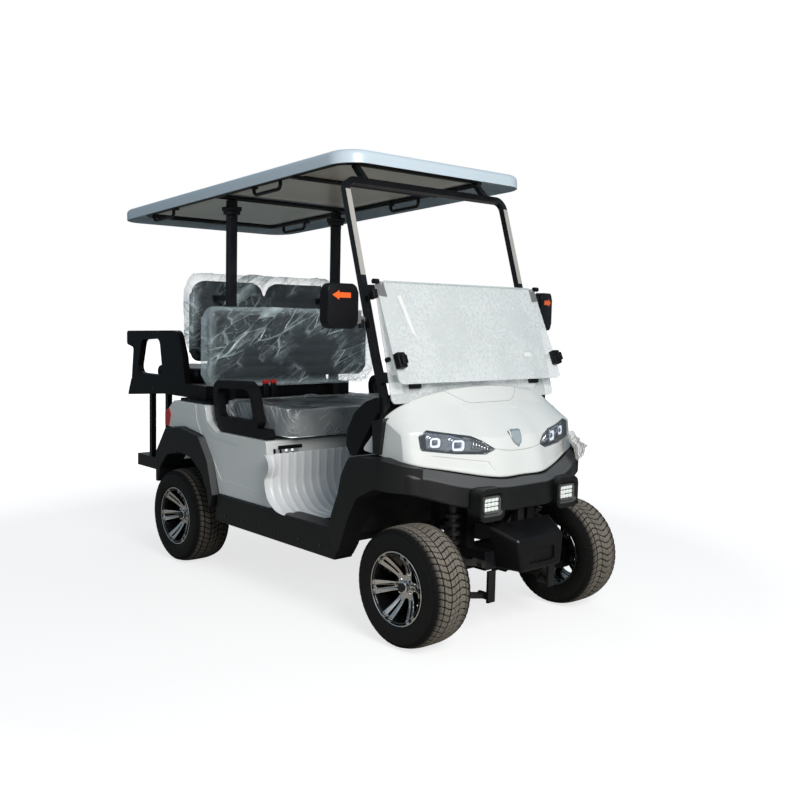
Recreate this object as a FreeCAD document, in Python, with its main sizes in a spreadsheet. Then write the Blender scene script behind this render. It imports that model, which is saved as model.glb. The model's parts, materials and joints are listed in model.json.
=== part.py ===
# A lifted four-seat golf cart, standing on its wheels.
# +X points forward, +Y to the cart's left and +Z up; the ground is z = 0.
import FreeCAD, Part
import Sketcher
import math
import os
import re

# Driving dimensions
# Lengths in millimetres, angles in degrees. A name that ends in _forward is measured from the
# front axle, _back from the rear axle, both along +X.
SIZES = (
    ("rear_axle_x", -605), ("wheelbase", 1780), ("running_clearance", 0.3),
    ("tyre_radius", 254), ("tyre_width", 214), ("tyre_wall", 12), ("tyre_crown_width", 176),
    ("rim_lip_radius", 156), ("rim_seat_radius", 147), ("rim_wall", 6), ("rim_lip_width", 5),
    ("rim_lip_offset", 100), ("disc_offset", 80), ("disc_thickness", 18), ("spoke_pairs",
                                                                           6), ("tyre_facets", 40),
    ("hub_radius", 36), ("stub_radius", 18), ("front_track", 1000), ("rear_track", 1056),
    ("rail_half_gap", 175), ("rail_width", 50), ("rail_tall", 80), ("rail_bottom", 300),
    ("rail_front_forward", 150), ("rail_tail_back", -300), ("cross_tube", 40),
    ("kingpin_y", 362), ("kingpin_radius", 24), ("lower_joint_z", 196), ("upper_joint_z", 322),
    ("arm_thickness", 22), ("arm_half_span", 130), ("steer_arm_length", 110), ("steer_arm_y", 330),
    ("tie_rod_radius", 9), ("damper_radius", 20), ("coil_radius", 36), ("damper_length", 384),
    ("spring_y", 272), ("leaf_width", 50), ("leaf_thickness", 8),
    ("leaf_half_span", 330), ("leaf_eye_z", 330), ("axle_tube_radius", 32),
    ("motor_radius", 88), ("motor_length", 260), ("pumpkin_radius", 95),
    ("battery_long", 440), ("battery_wide", 560), ("battery_tall", 230),
    ("floor_thickness", 25), ("toe_rise", 350), ("toe_run", 110),
    ("toe_forward", -440), ("sill_outer_y", 600), ("sill_inner_y", 500), ("sill_bottom", 288),
    ("sill_step", 25), ("sill_wall", 8), ("panel_wall", 6), ("body_half_width", 582),
    ("nose_low", 556), ("flare_half_width", 622), ("flare_depth", 130), ("seat_base_z",
                                                                         752), ("seat_front_back", 856),
    ("deck_z", 880), ("cushion_thick", 140), ("cushion_long", 590), ("cushion_half_width", 500),
    ("cushion_rear_back", 300), ("pan_thick", 14), ("pad_radius", 38),
    ("back_pad_thick", 82), ("back_pad_tall", 380), ("back_pad_half_width", 540),
    ("back_pad_z", 1010), ("rear_pad_tall", 470),
    ("rear_pad_half_width", 485), ("rear_pad_gap", 14), ("shoulder_radius", 80),
    ("rear_pad_x_back", -130), ("rear_pad_z", 1085),
    ("strut_y", 359), ("strut_x_back", 129), ("strut_long", 50), ("strut_wide", 40),
    ("roof_rear_back", -740), ("roof_length", 2150), ("roof_half_width", 590),
    ("roof_lip", 62), ("roof_wall", 8), ("roof_corner", 130), ("roof_rear_z", 1894),
    ("roof_slope", 3.66), ("rail_tube_radius", 13), ("roof_rail_y", 462),
    ("roof_rail_inset", 70), ("front_bar_back", 420),
    ("handle_drop", 50), ("handle_long", 230), ("handle_radius", 9), ("rear_handle_x", 190),
    ("front_handle_back", 725), ("pillar_tube", 30), ("pillar_y", 517), ("pillar_foot_z", 700),
    ("pillar_forward", -182), ("pillar_bend_forward", -250), ("pillar_bend_z", 1200),
    ("pillar_top_forward", -485), ("pillar_top_z", 1966), ("clamp_reach", 72),
    ("pane_thickness", 5), ("pane_top_forward", -266), ("pane_top_z", 1518), ("pane_half_width", 520),
    ("lower_pane_tall", 534), ("lower_pane_lean", 15.5), ("upper_pane_tall", 466),
    ("upper_pane_lean", 23.2), ("pane_gap", 5.3),
    ("fog_y", 250), ("fog_z", 597), ("fog_wide", 105), ("fog_tall", 72), ("fog_bezel", 150), ("fog_reach",
                                                                                              208),
    ("press_depth", 3), ("mirror_wide", 165), ("mirror_tall", 190), ("mirror_deep", 52), ("mirror_y", 672),
    ("mirror_z", 1410), ("wheel_ring_radius", 172), ("wheel_ring_tube", 14),
    ("steering_y", 270), ("steering_forward", -700), ("steering_z", 1075), ("column_angle", 38),
    ("column_radius", 22), ("column_length", 400), ("tray_rear_back", -820),
    ("tray_z", 855), ("tray_top_z", 968), ("tray_half_width", 500), ("tray_wall", 12),
    ("rear_cushion_thick", 85), ("rear_cushion_half_width", 440), ("rear_cushion_back", -620),
    ("rear_cushion_long", 480), ("arm_bar", 38), ("footrest_z", 480), ("footrest_rear_back", -850),
    ("footrest_long", 370), ("footrest_half_width", 420), ("footrest_tall", 72),
    ("post_side", 30), ("post_y", 400), ("rear_post_back", -690), ("front_post_back", -491),
)

doc = FreeCAD.newDocument("golf_cart")
sheet = doc.addObject("Spreadsheet::Sheet", "Sizes")
for row, (alias, number) in enumerate(SIZES, 1):
    sheet.set(f"A{row}", alias.replace("_", " "))
    sheet.set(f"B{row}", str(number))
    sheet.setAlias(f"B{row}", alias)
doc.recompute()

V = FreeCAD.Vector
X_AXIS, Y_AXIS, Z_AXIS = V(1, 0, 0), V(0, 1, 0), V(0, 0, 1)
ALIASES = {alias for alias, number in SIZES}


class Reader:
    """Reads a size from the sheet as an attribute."""

    def __getattr__(self, alias):
        return float(sheet.get(alias))


d = Reader()
front_x = d.rear_axle_x + d.wheelbase
rear_x = d.rear_axle_x
floor_z = d.rail_bottom + d.rail_tall + d.floor_thickness
sill_top = floor_z + d.sill_step
strut_rear = rear_x + d.strut_x_back - d.strut_long / 2
FRONT = "(rear_axle_x + wheelbase)"
FLOOR = "(rail_bottom + rail_tall + floor_thickness)"


def linked(text):
    """Turns size names in a formula into references to the sheet's cells."""
    return re.sub(r"[a-z][a-z_]+", lambda word: f"Sizes.{word[0]}" if word[0] in ALIASES else word[0], text)


def bind(item, **formulas):
    for path, text in formulas.items():
        item.setExpression(path.replace("__", "."), linked(text))
    return item


def place(item, x="0", y="0", z="0", axis=Y_AXIS, angle="0"):
    """Puts an object at a bound position, turned about one axis."""
    item.Placement = FreeCAD.Placement(V(), FreeCAD.Rotation(axis, 1))
    bind(item, Placement__Base__x=x, Placement__Base__y=y, Placement__Base__z=z,
         Placement__Rotation__Angle=angle)
    return item


def box(name, x, y, z, long, wide, tall):
    """A box with bound corner and sides."""
    return place(bind(doc.addObject("Part::Box", name), Length=long, Width=wide, Height=tall), x, y, z)


def rod(name, radius, length, x, y, z, axis=Y_AXIS, angle="0"):
    item = bind(doc.addObject("Part::Cylinder", name), Radius=radius, Height=length)
    return place(item, x, y, z, axis, angle)


def fuse(label, *items):
    joined = doc.addObject("Part::MultiFuse", label)
    joined.Shapes = list(items)
    joined.Label = label
    return joined


def together(label, *items):
    """Like pieces on one carrier kept as one sub-part of several solids."""
    group = doc.addObject("Part::Compound", label)
    group.Links = list(items)
    group.Label = label
    return group


def feature(label, shape):
    """A sub-part whose form is worked out in code from the sheet's sizes."""
    item = doc.addObject("Part::Feature", label)
    item.Shape = shape
    item.Label = label
    return item


def body(label):
    item = doc.addObject("PartDesign::Body", label)
    item.Label = label
    return item


def sketch(owner, role, name, offset="0"):
    """An empty sketch on one of its body's own origin planes."""
    item = owner.newObject("Sketcher::SketchObject", name)
    item.AttachmentSupport = (next(f for f in owner.Origin.OriginFeatures if f.Role == role), "")
    item.MapMode = "FlatFace"
    return bind(item, AttachmentOffset__Base__z=offset)


def outline(owner, role, name, corners, offset="0"):
    """A closed polygon whose corners are bound to formulas."""
    item = sketch(owner, role, name, offset)
    count = len(corners)
    start = [V(math.cos(math.tau * i / count), math.sin(math.tau * i / count), 0) for i in range(count)]
    for i in range(count):
        item.addGeometry(Part.LineSegment(start[i], start[(i + 1) % count]))
    for i in range(count):
        item.addConstraint(Sketcher.Constraint("Coincident", i, 2, (i + 1) % count, 1))
    for i, (across, up) in enumerate(corners):
        for kind, value, text in (("DistanceX", start[i].x, across), ("DistanceY", start[i].y, up)):
            index = item.addConstraint(Sketcher.Constraint(kind, -1, 1, i, 1, value))
            item.setExpression(f"Constraints[{index}]", linked(text))
    return item


def pad(owner, profile, length, both=False, name="Pad"):
    item = owner.newObject("PartDesign::Pad", name)
    item.Profile = profile
    item.Midplane = both
    return bind(item, Length=length)


def pocket(owner, profile, length, both=False, name="Pocket", reversed_way=False):
    item = owner.newObject("PartDesign::Pocket", name)
    item.Profile = profile
    item.Midplane = both
    item.Reversed = reversed_way
    return bind(item, Length=length)


def revolve(owner, profile, name="Revolution"):
    """Turns a profile about its sketch's own horizontal axis."""
    item = owner.newObject("PartDesign::Revolution", name)
    item.Profile = profile
    item.ReferenceAxis = (profile, ["H_Axis"])
    item.Angle = 360
    return item


def fillet(owner, base, radius, picks, name="Fillet"):
    """Rounds the edges of the base feature that picks accepts."""
    doc.recompute()
    edges = [f"Edge{i}" for i, edge in enumerate(base.Shape.Edges, 1) if picks(edge)]
    item = owner.newObject("PartDesign::Fillet", name)
    item.Base = (base, edges)
    return bind(item, Radius=radius)


def along(axis):
    """Accepts straight edges parallel to an axis."""
    def picks(edge):
        if edge.Curve.TypeId != "Part::GeomLine":
            return False
        return abs(abs(edge.tangentAt(edge.FirstParameter).dot(axis)) - 1) < 1e-6
    return picks


def shell(owner, base, wall, opens, name="Thickness"):
    """Hollows the base feature to a wall, open at the faces that opens accepts."""
    doc.recompute()
    faces = [f"Face{i}" for i, face in enumerate(base.Shape.Faces, 1) if opens(face)]
    item = owner.newObject("PartDesign::Thickness", name)
    item.Base = (base, faces)
    item.Reversed = True
    return bind(item, Value=wall)


# Forms drawn in code
def rounded(points, radii):
    """A closed wire through flat corners, each rounded by its own radius."""
    count = len(points)
    spread = radii if isinstance(radii, (list, tuple)) else [radii] * count
    arcs = []
    for i, corner in enumerate(points):
        back = (points[i - 1] - corner).normalize()
        ahead = (points[(i + 1) % count] - corner).normalize()
        half = back.getAngle(ahead) / 2
        reach = spread[i] / math.tan(half)
        inward = (back + ahead).normalize()
        middle = corner + inward * (spread[i] / math.sin(half) - spread[i])
        arcs.append(Part.Arc(corner + back * reach, middle, corner + ahead * reach))
    edges = []
    for i, arc in enumerate(arcs):
        edges.append(arc.toShape())
        edges.append(Part.makeLine(arc.EndPoint, arcs[(i + 1) % count].StartPoint))
    return Part.Wire(edges)


def inset(corners, walls):
    """Moves each side of a flat polygon, counter-clockwise, inward by its own wall."""
    count = len(corners)
    lines = []
    for i in range(count):
        (x0, z0), (x1, z1) = corners[i], corners[(i + 1) % count]
        length = math.hypot(x1 - x0, z1 - z0)
        nx, nz = -(z1 - z0) / length, (x1 - x0) / length
        lines.append((x0 + nx * walls[i], z0 + nz * walls[i], x1 - x0, z1 - z0))
    moved = []
    for i in range(count):
        ax, az, au, av = lines[i - 1]
        bx, bz, bu, bv = lines[i]
        cross = au * bv - av * bu
        step = ((bx - ax) * bv - (bz - az) * bu) / cross
        moved.append((ax + au * step, az + av * step))
    return moved


def across(stations, radii):
    """A solid lofted through side profiles, one at each y."""
    wires = [rounded([V(x, y, z) for x, z in corners], radii) for y, corners in stations]
    return Part.makeLoft(wires, True, False)


def mirrored(stations):
    """Stations from the centre line outward, repeated on the cart's right."""
    return [(-y, corners) for y, corners in reversed(stations) if y] + stations


def plate(corners, radii, y_low, y_high):
    """A side profile pulled straight across from one y to another."""
    wire = rounded([V(x, y_low, z) for x, z in corners], radii)
    return Part.Face(wire).extrude(V(0, y_high - y_low, 0))


def both_sides(shape):
    return [shape, shape.mirror(V(), Y_AXIS)]


def bent_path(points, bends):
    """An open path of straight runs joined by arcs."""
    edges = []
    here = points[0]
    for i in range(1, len(points) - 1):
        corner = points[i]
        back = (points[i - 1] - corner).normalize()
        ahead = (points[i + 1] - corner).normalize()
        half = back.getAngle(ahead) / 2
        radius = bends[i - 1] if isinstance(bends, (list, tuple)) else bends
        reach = radius / math.tan(half)
        inward = (back + ahead).normalize()
        arc = Part.Arc(corner + back * reach, corner + inward * (radius / math.sin(half) - radius),
                       corner + ahead * reach)
        edges.append(Part.makeLine(here, arc.StartPoint))
        edges.append(arc.toShape())
        here = arc.EndPoint
    edges.append(Part.makeLine(here, points[-1]))
    return Part.Wire(edges)


def tube(points, bends, radius):
    """A round bar along a bent path."""
    path = bent_path(points, bends)
    start = path.Edges[0]
    heading = start.tangentAt(start.FirstParameter)
    ring = Part.Wire(Part.makeCircle(radius, points[0], heading))
    return path.makePipeShell([ring], True, True)


def square_tube(points, bends, wide, deep, up):
    """A square bar along a bent path in one plane, with its depth along up."""
    path = bent_path(points, bends)
    heading = path.Edges[0].tangentAt(path.Edges[0].FirstParameter)
    side = heading.cross(up).normalize()
    lift = side.cross(heading).normalize()
    corners = [points[0] + side * (a * wide / 2) + lift * (b * deep / 2)
               for a, b in ((-1, -1), (1, -1), (1, 1), (-1, 1))]
    return path.makePipeShell([Part.makePolygon(corners + corners[:1])], True, False, 1)


# Lines and forms that several pieces share
def arch_line():
    """The rear flare's upper edge, from its rear end over the wheel to the sill."""
    z = floor_z
    return [(rear_x - 125, z + 322), (rear_x + 20, z + 340), (rear_x + 225, z + 312),
            (rear_x + 320, z + 190), (rear_x + 376, z + 20)]


def tray_low_z():
    """Underside of the tray where it passes over the white shell."""
    return d.deck_z + 13


def tray_corners():
    x0, x1 = rear_x + d.tray_rear_back, strut_rear - d.running_clearance
    return [(x0, d.tray_z), (rear_x - 361, tray_low_z()), (x1, tray_low_z()), (x1, d.tray_top_z),
            (rear_x + d.rear_cushion_back - 20, d.tray_top_z), (x0 + 45, d.tray_top_z - 10)]


def rail_height():
    """Height of the roof rails' centre in the roof's own tilted frame."""
    return d.roof_lip - d.roof_wall - d.rail_tube_radius - d.running_clearance


def strut_bar_x():
    """Where the cross tube over the struts lies along the tilted roof."""
    slope = math.radians(d.roof_slope)
    return (d.strut_x_back - d.roof_rear_back + rail_height() * math.sin(slope)) / math.cos(slope)


def rail_front():
    """Where the rails' front tube lies along the tilted roof, just behind the windscreen frame."""
    slope = math.radians(d.roof_slope)
    level = front_x + d.pillar_top_forward - d.clamp_reach - rear_x - d.roof_rear_back
    return (level + rail_height() * math.sin(slope)) / math.cos(slope)


def pillar_x_at(z):
    """The pillar's centre line on its long upper run."""
    low, high = (front_x + d.pillar_bend_forward, d.pillar_bend_z), (front_x + d.pillar_top_forward,
                                                                     d.pillar_top_z)
    return low[0] + (high[0] - low[0]) * (z - low[1]) / (high[1] - low[1])


def windscreen_tube(grow):
    """One square tube up each side and over the top, from foot to foot."""
    x, y = front_x + d.pillar_forward, d.pillar_y
    left = [V(x, y, d.pillar_foot_z), V(x, y, d.pillar_bend_z - 190),
            V(front_x + d.pillar_bend_forward, y, d.pillar_bend_z),
            V(front_x + d.pillar_top_forward, y, d.pillar_top_z)]
    points = left + [V(p.x, -p.y, p.z) for p in reversed(left)]
    side = d.pillar_tube + 2 * grow
    return square_tube(points, [60, 300, 50, 50, 300, 60], side, side, X_AXIS)


def boot(grow):
    """The cover round a pillar's foot, on the left, wider at its top."""
    x = front_x + d.pillar_forward
    y0, y1 = d.pillar_y - d.pillar_tube / 2 - 2 - grow, 562 + grow
    low = [V(x - 22 - grow, y0, 788 - 2 * grow), V(x + 20 + grow, y0, 788 - 2 * grow),
           V(x + 20 + grow, y1, 788 - 2 * grow), V(x - 22 - grow, y1, 788 - 2 * grow)]
    top = [V(x - 26 - grow, y0, 925 + grow), V(x + 44 + grow, y0, 945 + grow),
           V(x + 44 + grow, y1 + 4, 945 + grow), V(x - 26 - grow, y1 + 4, 925 + grow)]
    return Part.makeLoft([Part.makePolygon(low + low[:1]), Part.makePolygon(top + top[:1])], True, True)


def behind_pane():
    """Everything behind the lower pane's front, where the bonnet must stay clear."""
    lean = math.radians(d.lower_pane_lean)
    gap = d.running_clearance / math.cos(lean)
    top_x = front_x + d.pane_top_forward + d.pane_thickness / math.cos(lean) + gap
    deep = d.lower_pane_tall * math.cos(lean)
    foot = top_x + math.tan(lean) * deep
    low = d.pane_top_z - deep - d.running_clearance
    half = d.pane_half_width + 14
    corners = [V(foot - 60, -half, low), V(foot, -half, low), V(top_x, -half, d.pane_top_z),
               V(top_x - 300, -half, d.pane_top_z),
               V(top_x - 300, -half, low + 60)]
    return Part.Face(Part.makePolygon(corners + corners[:1])).extrude(V(0, 2 * half, 0))


def steering_axis():
    angle = math.radians(d.column_angle)
    return V(-math.cos(angle), 0, math.sin(angle))


def steering_centre():
    return V(front_x + d.steering_forward, d.steering_y, d.steering_z)


# Chassis frame: two long rails, cross tubes and outriggers under floor, sills and struts
def chassis_frame():
    members = []
    for side, low in (("left", "rail_half_gap"), ("right", "-rail_half_gap - rail_width")):
        members.append(box(f"rail_{side}", "rear_axle_x + rail_tail_back", low, "rail_bottom",
                           "wheelbase + rail_front_forward - rail_tail_back", "rail_width", "rail_tall"))
    sill_reach = "(sill_outer_y - sill_wall - running_clearance)"
    strut_reach = "(strut_y + strut_wide / 2)"
    crosses = (("rear_outrigger", "rear_axle_x + seat_front_back - 420", sill_reach),
               ("seat_outrigger", "rear_axle_x + seat_front_back - 60", sill_reach),
               ("front_outrigger", FRONT + " + toe_forward - 60", sill_reach),
               ("strut_outrigger", "rear_axle_x + strut_x_back - cross_tube / 2", strut_reach))
    for name, x, reach in crosses:
        members.append(box(name, x, f"-{reach}", "rail_bottom + rail_tall - cross_tube",
                           "cross_tube", f"2 * {reach}", "cross_tube"))
    hanger_half = "(spring_y + leaf_width / 2)"
    for name, x in (("spring_hanger_front", "rear_axle_x + leaf_half_span - cross_tube"),
                    ("spring_hanger_rear", "rear_axle_x - leaf_half_span")):
        members.append(box(name, x, f"-{hanger_half}", "leaf_eye_z + running_clearance", "cross_tube",
                           f"2 * {hanger_half}", "rail_bottom + rail_tall - leaf_eye_z - running_clearance"))
    rails_wide = "2 * (rail_half_gap + rail_width)"
    for name, x in (("nose_cross", FRONT + " + rail_front_forward - cross_tube"),
                    ("tower_cross", FRONT + " - cross_tube / 2")):
        members.append(box(name, x, "-rail_half_gap - rail_width", "rail_bottom",
                           "cross_tube", rails_wide, "rail_tall"))
    return fuse("chassis_frame", *members)


# The hoop that carries the windscreen frame, and the post under the nose band
def front_hoop():
    pillar_x = FRONT + " + pillar_forward - pillar_tube / 2"
    foot = "rail_bottom + rail_tall + running_clearance"
    members = [box("hoop_bar", pillar_x, "-pillar_y - pillar_tube / 2",
                   "pillar_foot_z - pillar_tube - running_clearance",
                   "pillar_tube", "2 * pillar_y + pillar_tube", "pillar_tube")]
    for side, low in (("left", "rail_half_gap + 10"), ("right", "-rail_half_gap - 10 - pillar_tube")):
        members.append(box(f"hoop_leg_{side}", pillar_x, low, foot, "pillar_tube", "pillar_tube",
                           "pillar_foot_z - pillar_tube - rail_bottom - rail_tall - 2 * running_clearance"))
    post = box("bumper_post", FRONT + " + rail_front_forward - cross_tube", "-20", foot,
               "cross_tube", "40", "nose_low - rail_bottom - rail_tall - 2 * running_clearance")
    return together("front_hoop", fuse("hoop", *members), post)


# Front suspension: two wishbones a side between the rails and the kingpins
def wishbone(z, inner_y):
    """One A-shaped arm with its outer joint boss, on the cart's left."""
    half = 13
    joint = V(front_x, d.kingpin_y, z)
    legs = []
    for way in (-1, 1):
        foot = V(front_x + way * d.arm_half_span, inner_y, z)
        run = (joint - foot).normalize()
        across_run = V(-run.y, run.x, 0) * half
        corners = [foot - across_run, joint - across_run, joint + across_run, foot + across_run]
        face = Part.Face(Part.makePolygon(corners + corners[:1]))
        legs.append(face.extrude(V(0, 0, d.arm_thickness)))
        legs.append(Part.makeCylinder(16, 60, V(foot.x - 30, foot.y, z + d.arm_thickness / 2), X_AXIS))
    seat_y = d.rail_half_gap + d.rail_width + 50
    legs.append(Part.makeBox(130, 34, d.arm_thickness, V(front_x - 65, seat_y - 17, z)))
    boss = Part.makeCylinder(d.kingpin_radius, d.arm_thickness, joint)
    return boss.multiFuse(legs)


def front_wishbones():
    lower_z = d.lower_joint_z - d.arm_thickness - d.running_clearance
    upper_z = d.upper_joint_z + d.running_clearance
    inner = d.rail_half_gap + d.rail_width
    lower = wishbone(lower_z, d.rail_half_gap + d.rail_width / 2)
    upper = wishbone(upper_z, inner + 16 + d.running_clearance)
    window = Part.makeCylinder(d.coil_radius + 4, 90, V(front_x, inner + 50, upper_z - 30))
    return feature("front_wishbones", Part.makeCompound(both_sides(lower) + both_sides(upper.cut(window))))


def suspension_brackets():
    """Plates under the rails for the lower arms, and the towers over the dampers."""
    shapes = []
    gap = d.running_clearance
    lower_z = d.lower_joint_z - d.arm_thickness / 2 - gap
    rail_top = d.rail_bottom + d.rail_tall + gap
    thick, wide, below = 12, 44, 22
    for way in (-1, 1):
        x = front_x + way * (d.arm_half_span + 36 + gap)
        for sign in (-1, 1):
            y = sign * (d.rail_half_gap + d.rail_width / 2)
            shapes.append(Part.makeBox(thick, wide, d.rail_bottom - gap - lower_z + below,
                                       V(x - thick / 2, y - wide / 2, lower_z - below)))
    head_z = d.lower_joint_z + d.damper_length
    for sign in (-1, 1):
        post = Part.makeBox(80, d.rail_width, head_z + thick - rail_top,
                            V(front_x - 40, d.rail_half_gap, rail_top))
        cap = Part.makeBox(80, 90, thick, V(front_x - 40, d.rail_half_gap + d.rail_width, head_z))
        tower = post.fuse(cap)
        shapes.append(tower if sign > 0 else tower.mirror(V(), Y_AXIS))
    return feature("suspension_brackets", Part.makeCompound(shapes))


def damper(foot, head, body_radius, coil_radius, rings):
    """A damper with its coil spring drawn as a stack of rings."""
    run = head - foot
    length = run.Length
    heading = run.normalize()
    profile = [V(0, 0, 0), V(body_radius, 0, 0)]
    low, high = 0.22 * length, 0.92 * length
    pitch = (high - low) / rings
    for i in range(rings):
        z = low + i * pitch
        profile += [V(body_radius, 0, z), V(coil_radius, 0, z + 0.1 * pitch),
                    V(coil_radius, 0, z + 0.5 * pitch), V(body_radius, 0, z + 0.6 * pitch)]
    profile += [V(body_radius, 0, length), V(0, 0, length), V(0, 0, 0)]
    turned = Part.Face(Part.makePolygon(profile)).revolve(V(), Z_AXIS, 360)
    turned.Placement = FreeCAD.Placement(foot, FreeCAD.Rotation(Z_AXIS, heading))
    return turned


def springs_and_dampers():
    """Coil-over dampers in front, leaf springs behind."""
    shapes = []
    arm_top = d.lower_joint_z - d.running_clearance
    foot_y = d.rail_half_gap + d.rail_width + 50
    for sign in (-1, 1):
        foot = V(front_x, sign * foot_y, arm_top)
        head = V(front_x, sign * foot_y, d.lower_joint_z + d.damper_length - d.running_clearance)
        shapes.append(damper(foot, head, d.damper_radius, d.coil_radius, 7))
    axle_top = d.tyre_radius + d.axle_tube_radius
    sag = d.leaf_eye_z - axle_top - 3 * d.leaf_thickness
    for sign in (-1, 1):
        leaves = []
        for leaf, share in enumerate((1.0, 0.72, 0.45)):
            half = d.leaf_half_span * share
            rise = sag * share * share
            low = axle_top + d.leaf_thickness * (2 - leaf)
            under = Part.Arc(V(rear_x - half, 0, low + rise), V(rear_x, 0, low),
                             V(rear_x + half, 0, low + rise))
            strip = under.toShape().extrude(V(0, 0, d.leaf_thickness)).extrude(V(0, d.leaf_width, 0))
            strip.translate(V(0, sign * d.spring_y - d.leaf_width / 2, 0))
            leaves.append(strip)
        shapes.append(leaves[0].multiFuse(leaves[1:]))
    return feature("springs_and_dampers", Part.makeCompound(shapes))


# Rear axle: tube, gear housing and shafts, with motor and battery ahead of it
def rear_axle():
    half = "rear_track / 2 - rim_lip_offset + 20"
    parts = [
        rod("axle_tube", "axle_tube_radius", f"2 * ({half})", "rear_axle_x", f"({half})", "tyre_radius",
            X_AXIS, "90"),
        rod("gear_housing", "pumpkin_radius", "130", "rear_axle_x", "105", "tyre_radius", X_AXIS, "90"),
        rod("axle_shaft", "stub_radius", "rear_track + 2 * disc_offset - disc_thickness",
            "rear_axle_x", "rear_track / 2 + disc_offset - disc_thickness / 2", "tyre_radius", X_AXIS, "90"),
    ]
    return fuse("rear_axle", *parts)


def drive_motor():
    """The electric motor lies across the cart in front of the axle."""
    item = rod("drive_motor", "motor_radius", "motor_length",
               "rear_axle_x + pumpkin_radius + motor_radius + running_clearance",
               "motor_length - 100", "tyre_radius - 10", X_AXIS, "90")
    item.Label = "drive_motor"
    return item


def battery_pack():
    item = box("battery_pack", "rear_axle_x + seat_front_back - 80 - battery_long", "-battery_wide / 2",
               "rail_bottom + rail_tall", "battery_long", "battery_wide", "battery_tall")
    item.Label = "battery_pack"
    return item


# Floor pan with its toe board, one bent panel
def floor_pan():
    item = body("floor_pan")
    rear = "rear_axle_x + seat_front_back - 60"
    bend = FRONT + " + toe_forward"
    low = "rail_bottom + rail_tall"
    corners = [(rear, low), (bend, low),
               (f"{bend} + toe_run", f"{FLOOR} + toe_rise - floor_thickness / 2"),
               (f"{bend} + toe_run - floor_thickness / 2", f"{FLOOR} + toe_rise"),
               (f"{bend} - floor_thickness / 2", FLOOR), (rear, FLOOR)]
    pad(item, outline(item, "XZ_Plane", "side", corners), "2 * (sill_inner_y - running_clearance)",
        both=True)
    return item


# Sills: hollow black rockers along both sides
def sill_corners():
    """The sill seen from the side, counter-clockwise."""
    return [(rear_x + 366, d.sill_bottom), (front_x - 398, d.sill_bottom), (front_x - 436, sill_top),
            (rear_x + 386, sill_top)]


def side_sills():
    corners = sill_corners()
    outer = plate(corners, 14, d.sill_inner_y, d.sill_outer_y)
    rim = [e for e in outer.Edges if e.BoundBox.YMin > d.sill_outer_y - 0.01]
    outer = outer.makeFillet(10, rim)
    inner = plate(inset(corners, [d.sill_wall] * 4), 8, d.sill_inner_y - 1, d.sill_outer_y - d.sill_wall)
    return feature("side_sills", Part.makeCompound(both_sides(outer.cut(inner))))


# Rear body: the white shell round seat base and battery
def rear_body_corners():
    """The white shell's side profile, clear of the flare and the sill by the seat gap."""
    seat = rear_x + d.seat_front_back
    base = d.seat_base_z
    line = arch_line()
    corners = [(line[4][0] + 4, sill_top), (seat, sill_top), (seat - 56, base), (rear_x + 350, base),
               (rear_x + 256, base + 50), (rear_x + 232, d.deck_z),
               (rear_x - 100, d.deck_z), (rear_x - 178, base + 66), (rear_x - 165, base - 22)]
    corners += line[:4]
    gap = d.running_clearance
    walls = [gap, 0, 0, 0, 0, 0, 0, 0, gap, gap, gap, gap, gap]
    return inset(corners, walls)


def side_press():
    """The shallow field pressed into the white side in front of its S-shaped crease."""
    edge = [(168, 900, 10), (198, 800, 30), (300, 722, 60), (447, 714, 60), (560, 700, 40), (700, 790, 30),
            (900, 790, 8), (900, 486, 8), (560, 506, 10), (400, 504, 30), (330, 590, 30), (214, 700, 30),
            (150, 790, 30), (130, 900, 10)]
    corners = [V(rear_x + x, d.body_half_width - d.press_depth + 1, z) for x, z, radius in reversed(edge)]
    wire = rounded(corners, [radius for x, z, radius in reversed(edge)])
    return Part.Face(wire).extrude(V(0, 20, 0))


def seat_vents():
    """Four upright slots through the seat box's front at each side."""
    slots = []
    for row in range(4):
        y = 541 - 36 * row
        slot = Part.makeBox(80, 16, 60, V(rear_x + d.seat_front_back - 60, y - 16, 652))
        slots += both_sides(slot)
    return slots


def tail_lamp(grow):
    half = d.body_half_width
    corners = inset([(rear_x - 186, 735), (rear_x - 150, 735), (rear_x - 128, 800), (rear_x - 150, 832),
                     (rear_x - 186, 815)],
                    [-grow] * 5)
    return plate(corners, 6, half - 80 - grow, half + 6)


def rear_body():
    corners = rear_body_corners()
    radii = [3, 12, 14, 30, 20, 20, 30, 14, 4, 20, 40, 60, 50]
    half = d.body_half_width
    wall = d.panel_wall
    recess_y = d.cushion_half_width + 8
    riser = rear_x + d.cushion_rear_back - 16
    outer = plate(corners, radii, -half, half)
    rim_edges = [e for e in outer.Edges if abs(abs(e.CenterOfMass.y) - half) < 0.01]
    outer = outer.makeFillet(5, rim_edges)
    outer = outer.cut(Part.makeBox(300, 2 * recess_y, 300, V(riser, -recess_y, d.seat_base_z)))
    walls = [-20, wall, wall, wall, wall, wall, wall, wall, -20, -20, -20, -20, -20]
    inner = plate(inset(corners, walls), [3, 8, 8, 34, 14, 14, 24, 8, 4, 20, 30, 60, 40], wall - half,
                  half - wall)
    inner = inner.cut(Part.makeBox(300, 2 * (recess_y + wall), 300,
                                   V(riser - wall, -recess_y - wall, d.seat_base_z - wall)))
    hatch = Part.makeBox(380, 800, 60, V(rear_x + 380, -400, d.seat_base_z - 30))
    shape = outer.cut(inner).cut(hatch)
    for opening in both_sides(tail_lamp(d.running_clearance)) + both_sides(side_press()) + seat_vents():
        shape = shape.cut(opening)
    gap = d.running_clearance
    for sign in (-1, 1):
        hole = Part.makeBox(d.strut_long + 2 * gap, d.strut_wide + 2 * gap, 100,
                            V(strut_rear - gap, sign * d.strut_y - d.strut_wide / 2 - gap, d.deck_z - 50))
        shape = shape.cut(hole)
    return feature("rear_body", shape)


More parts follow.
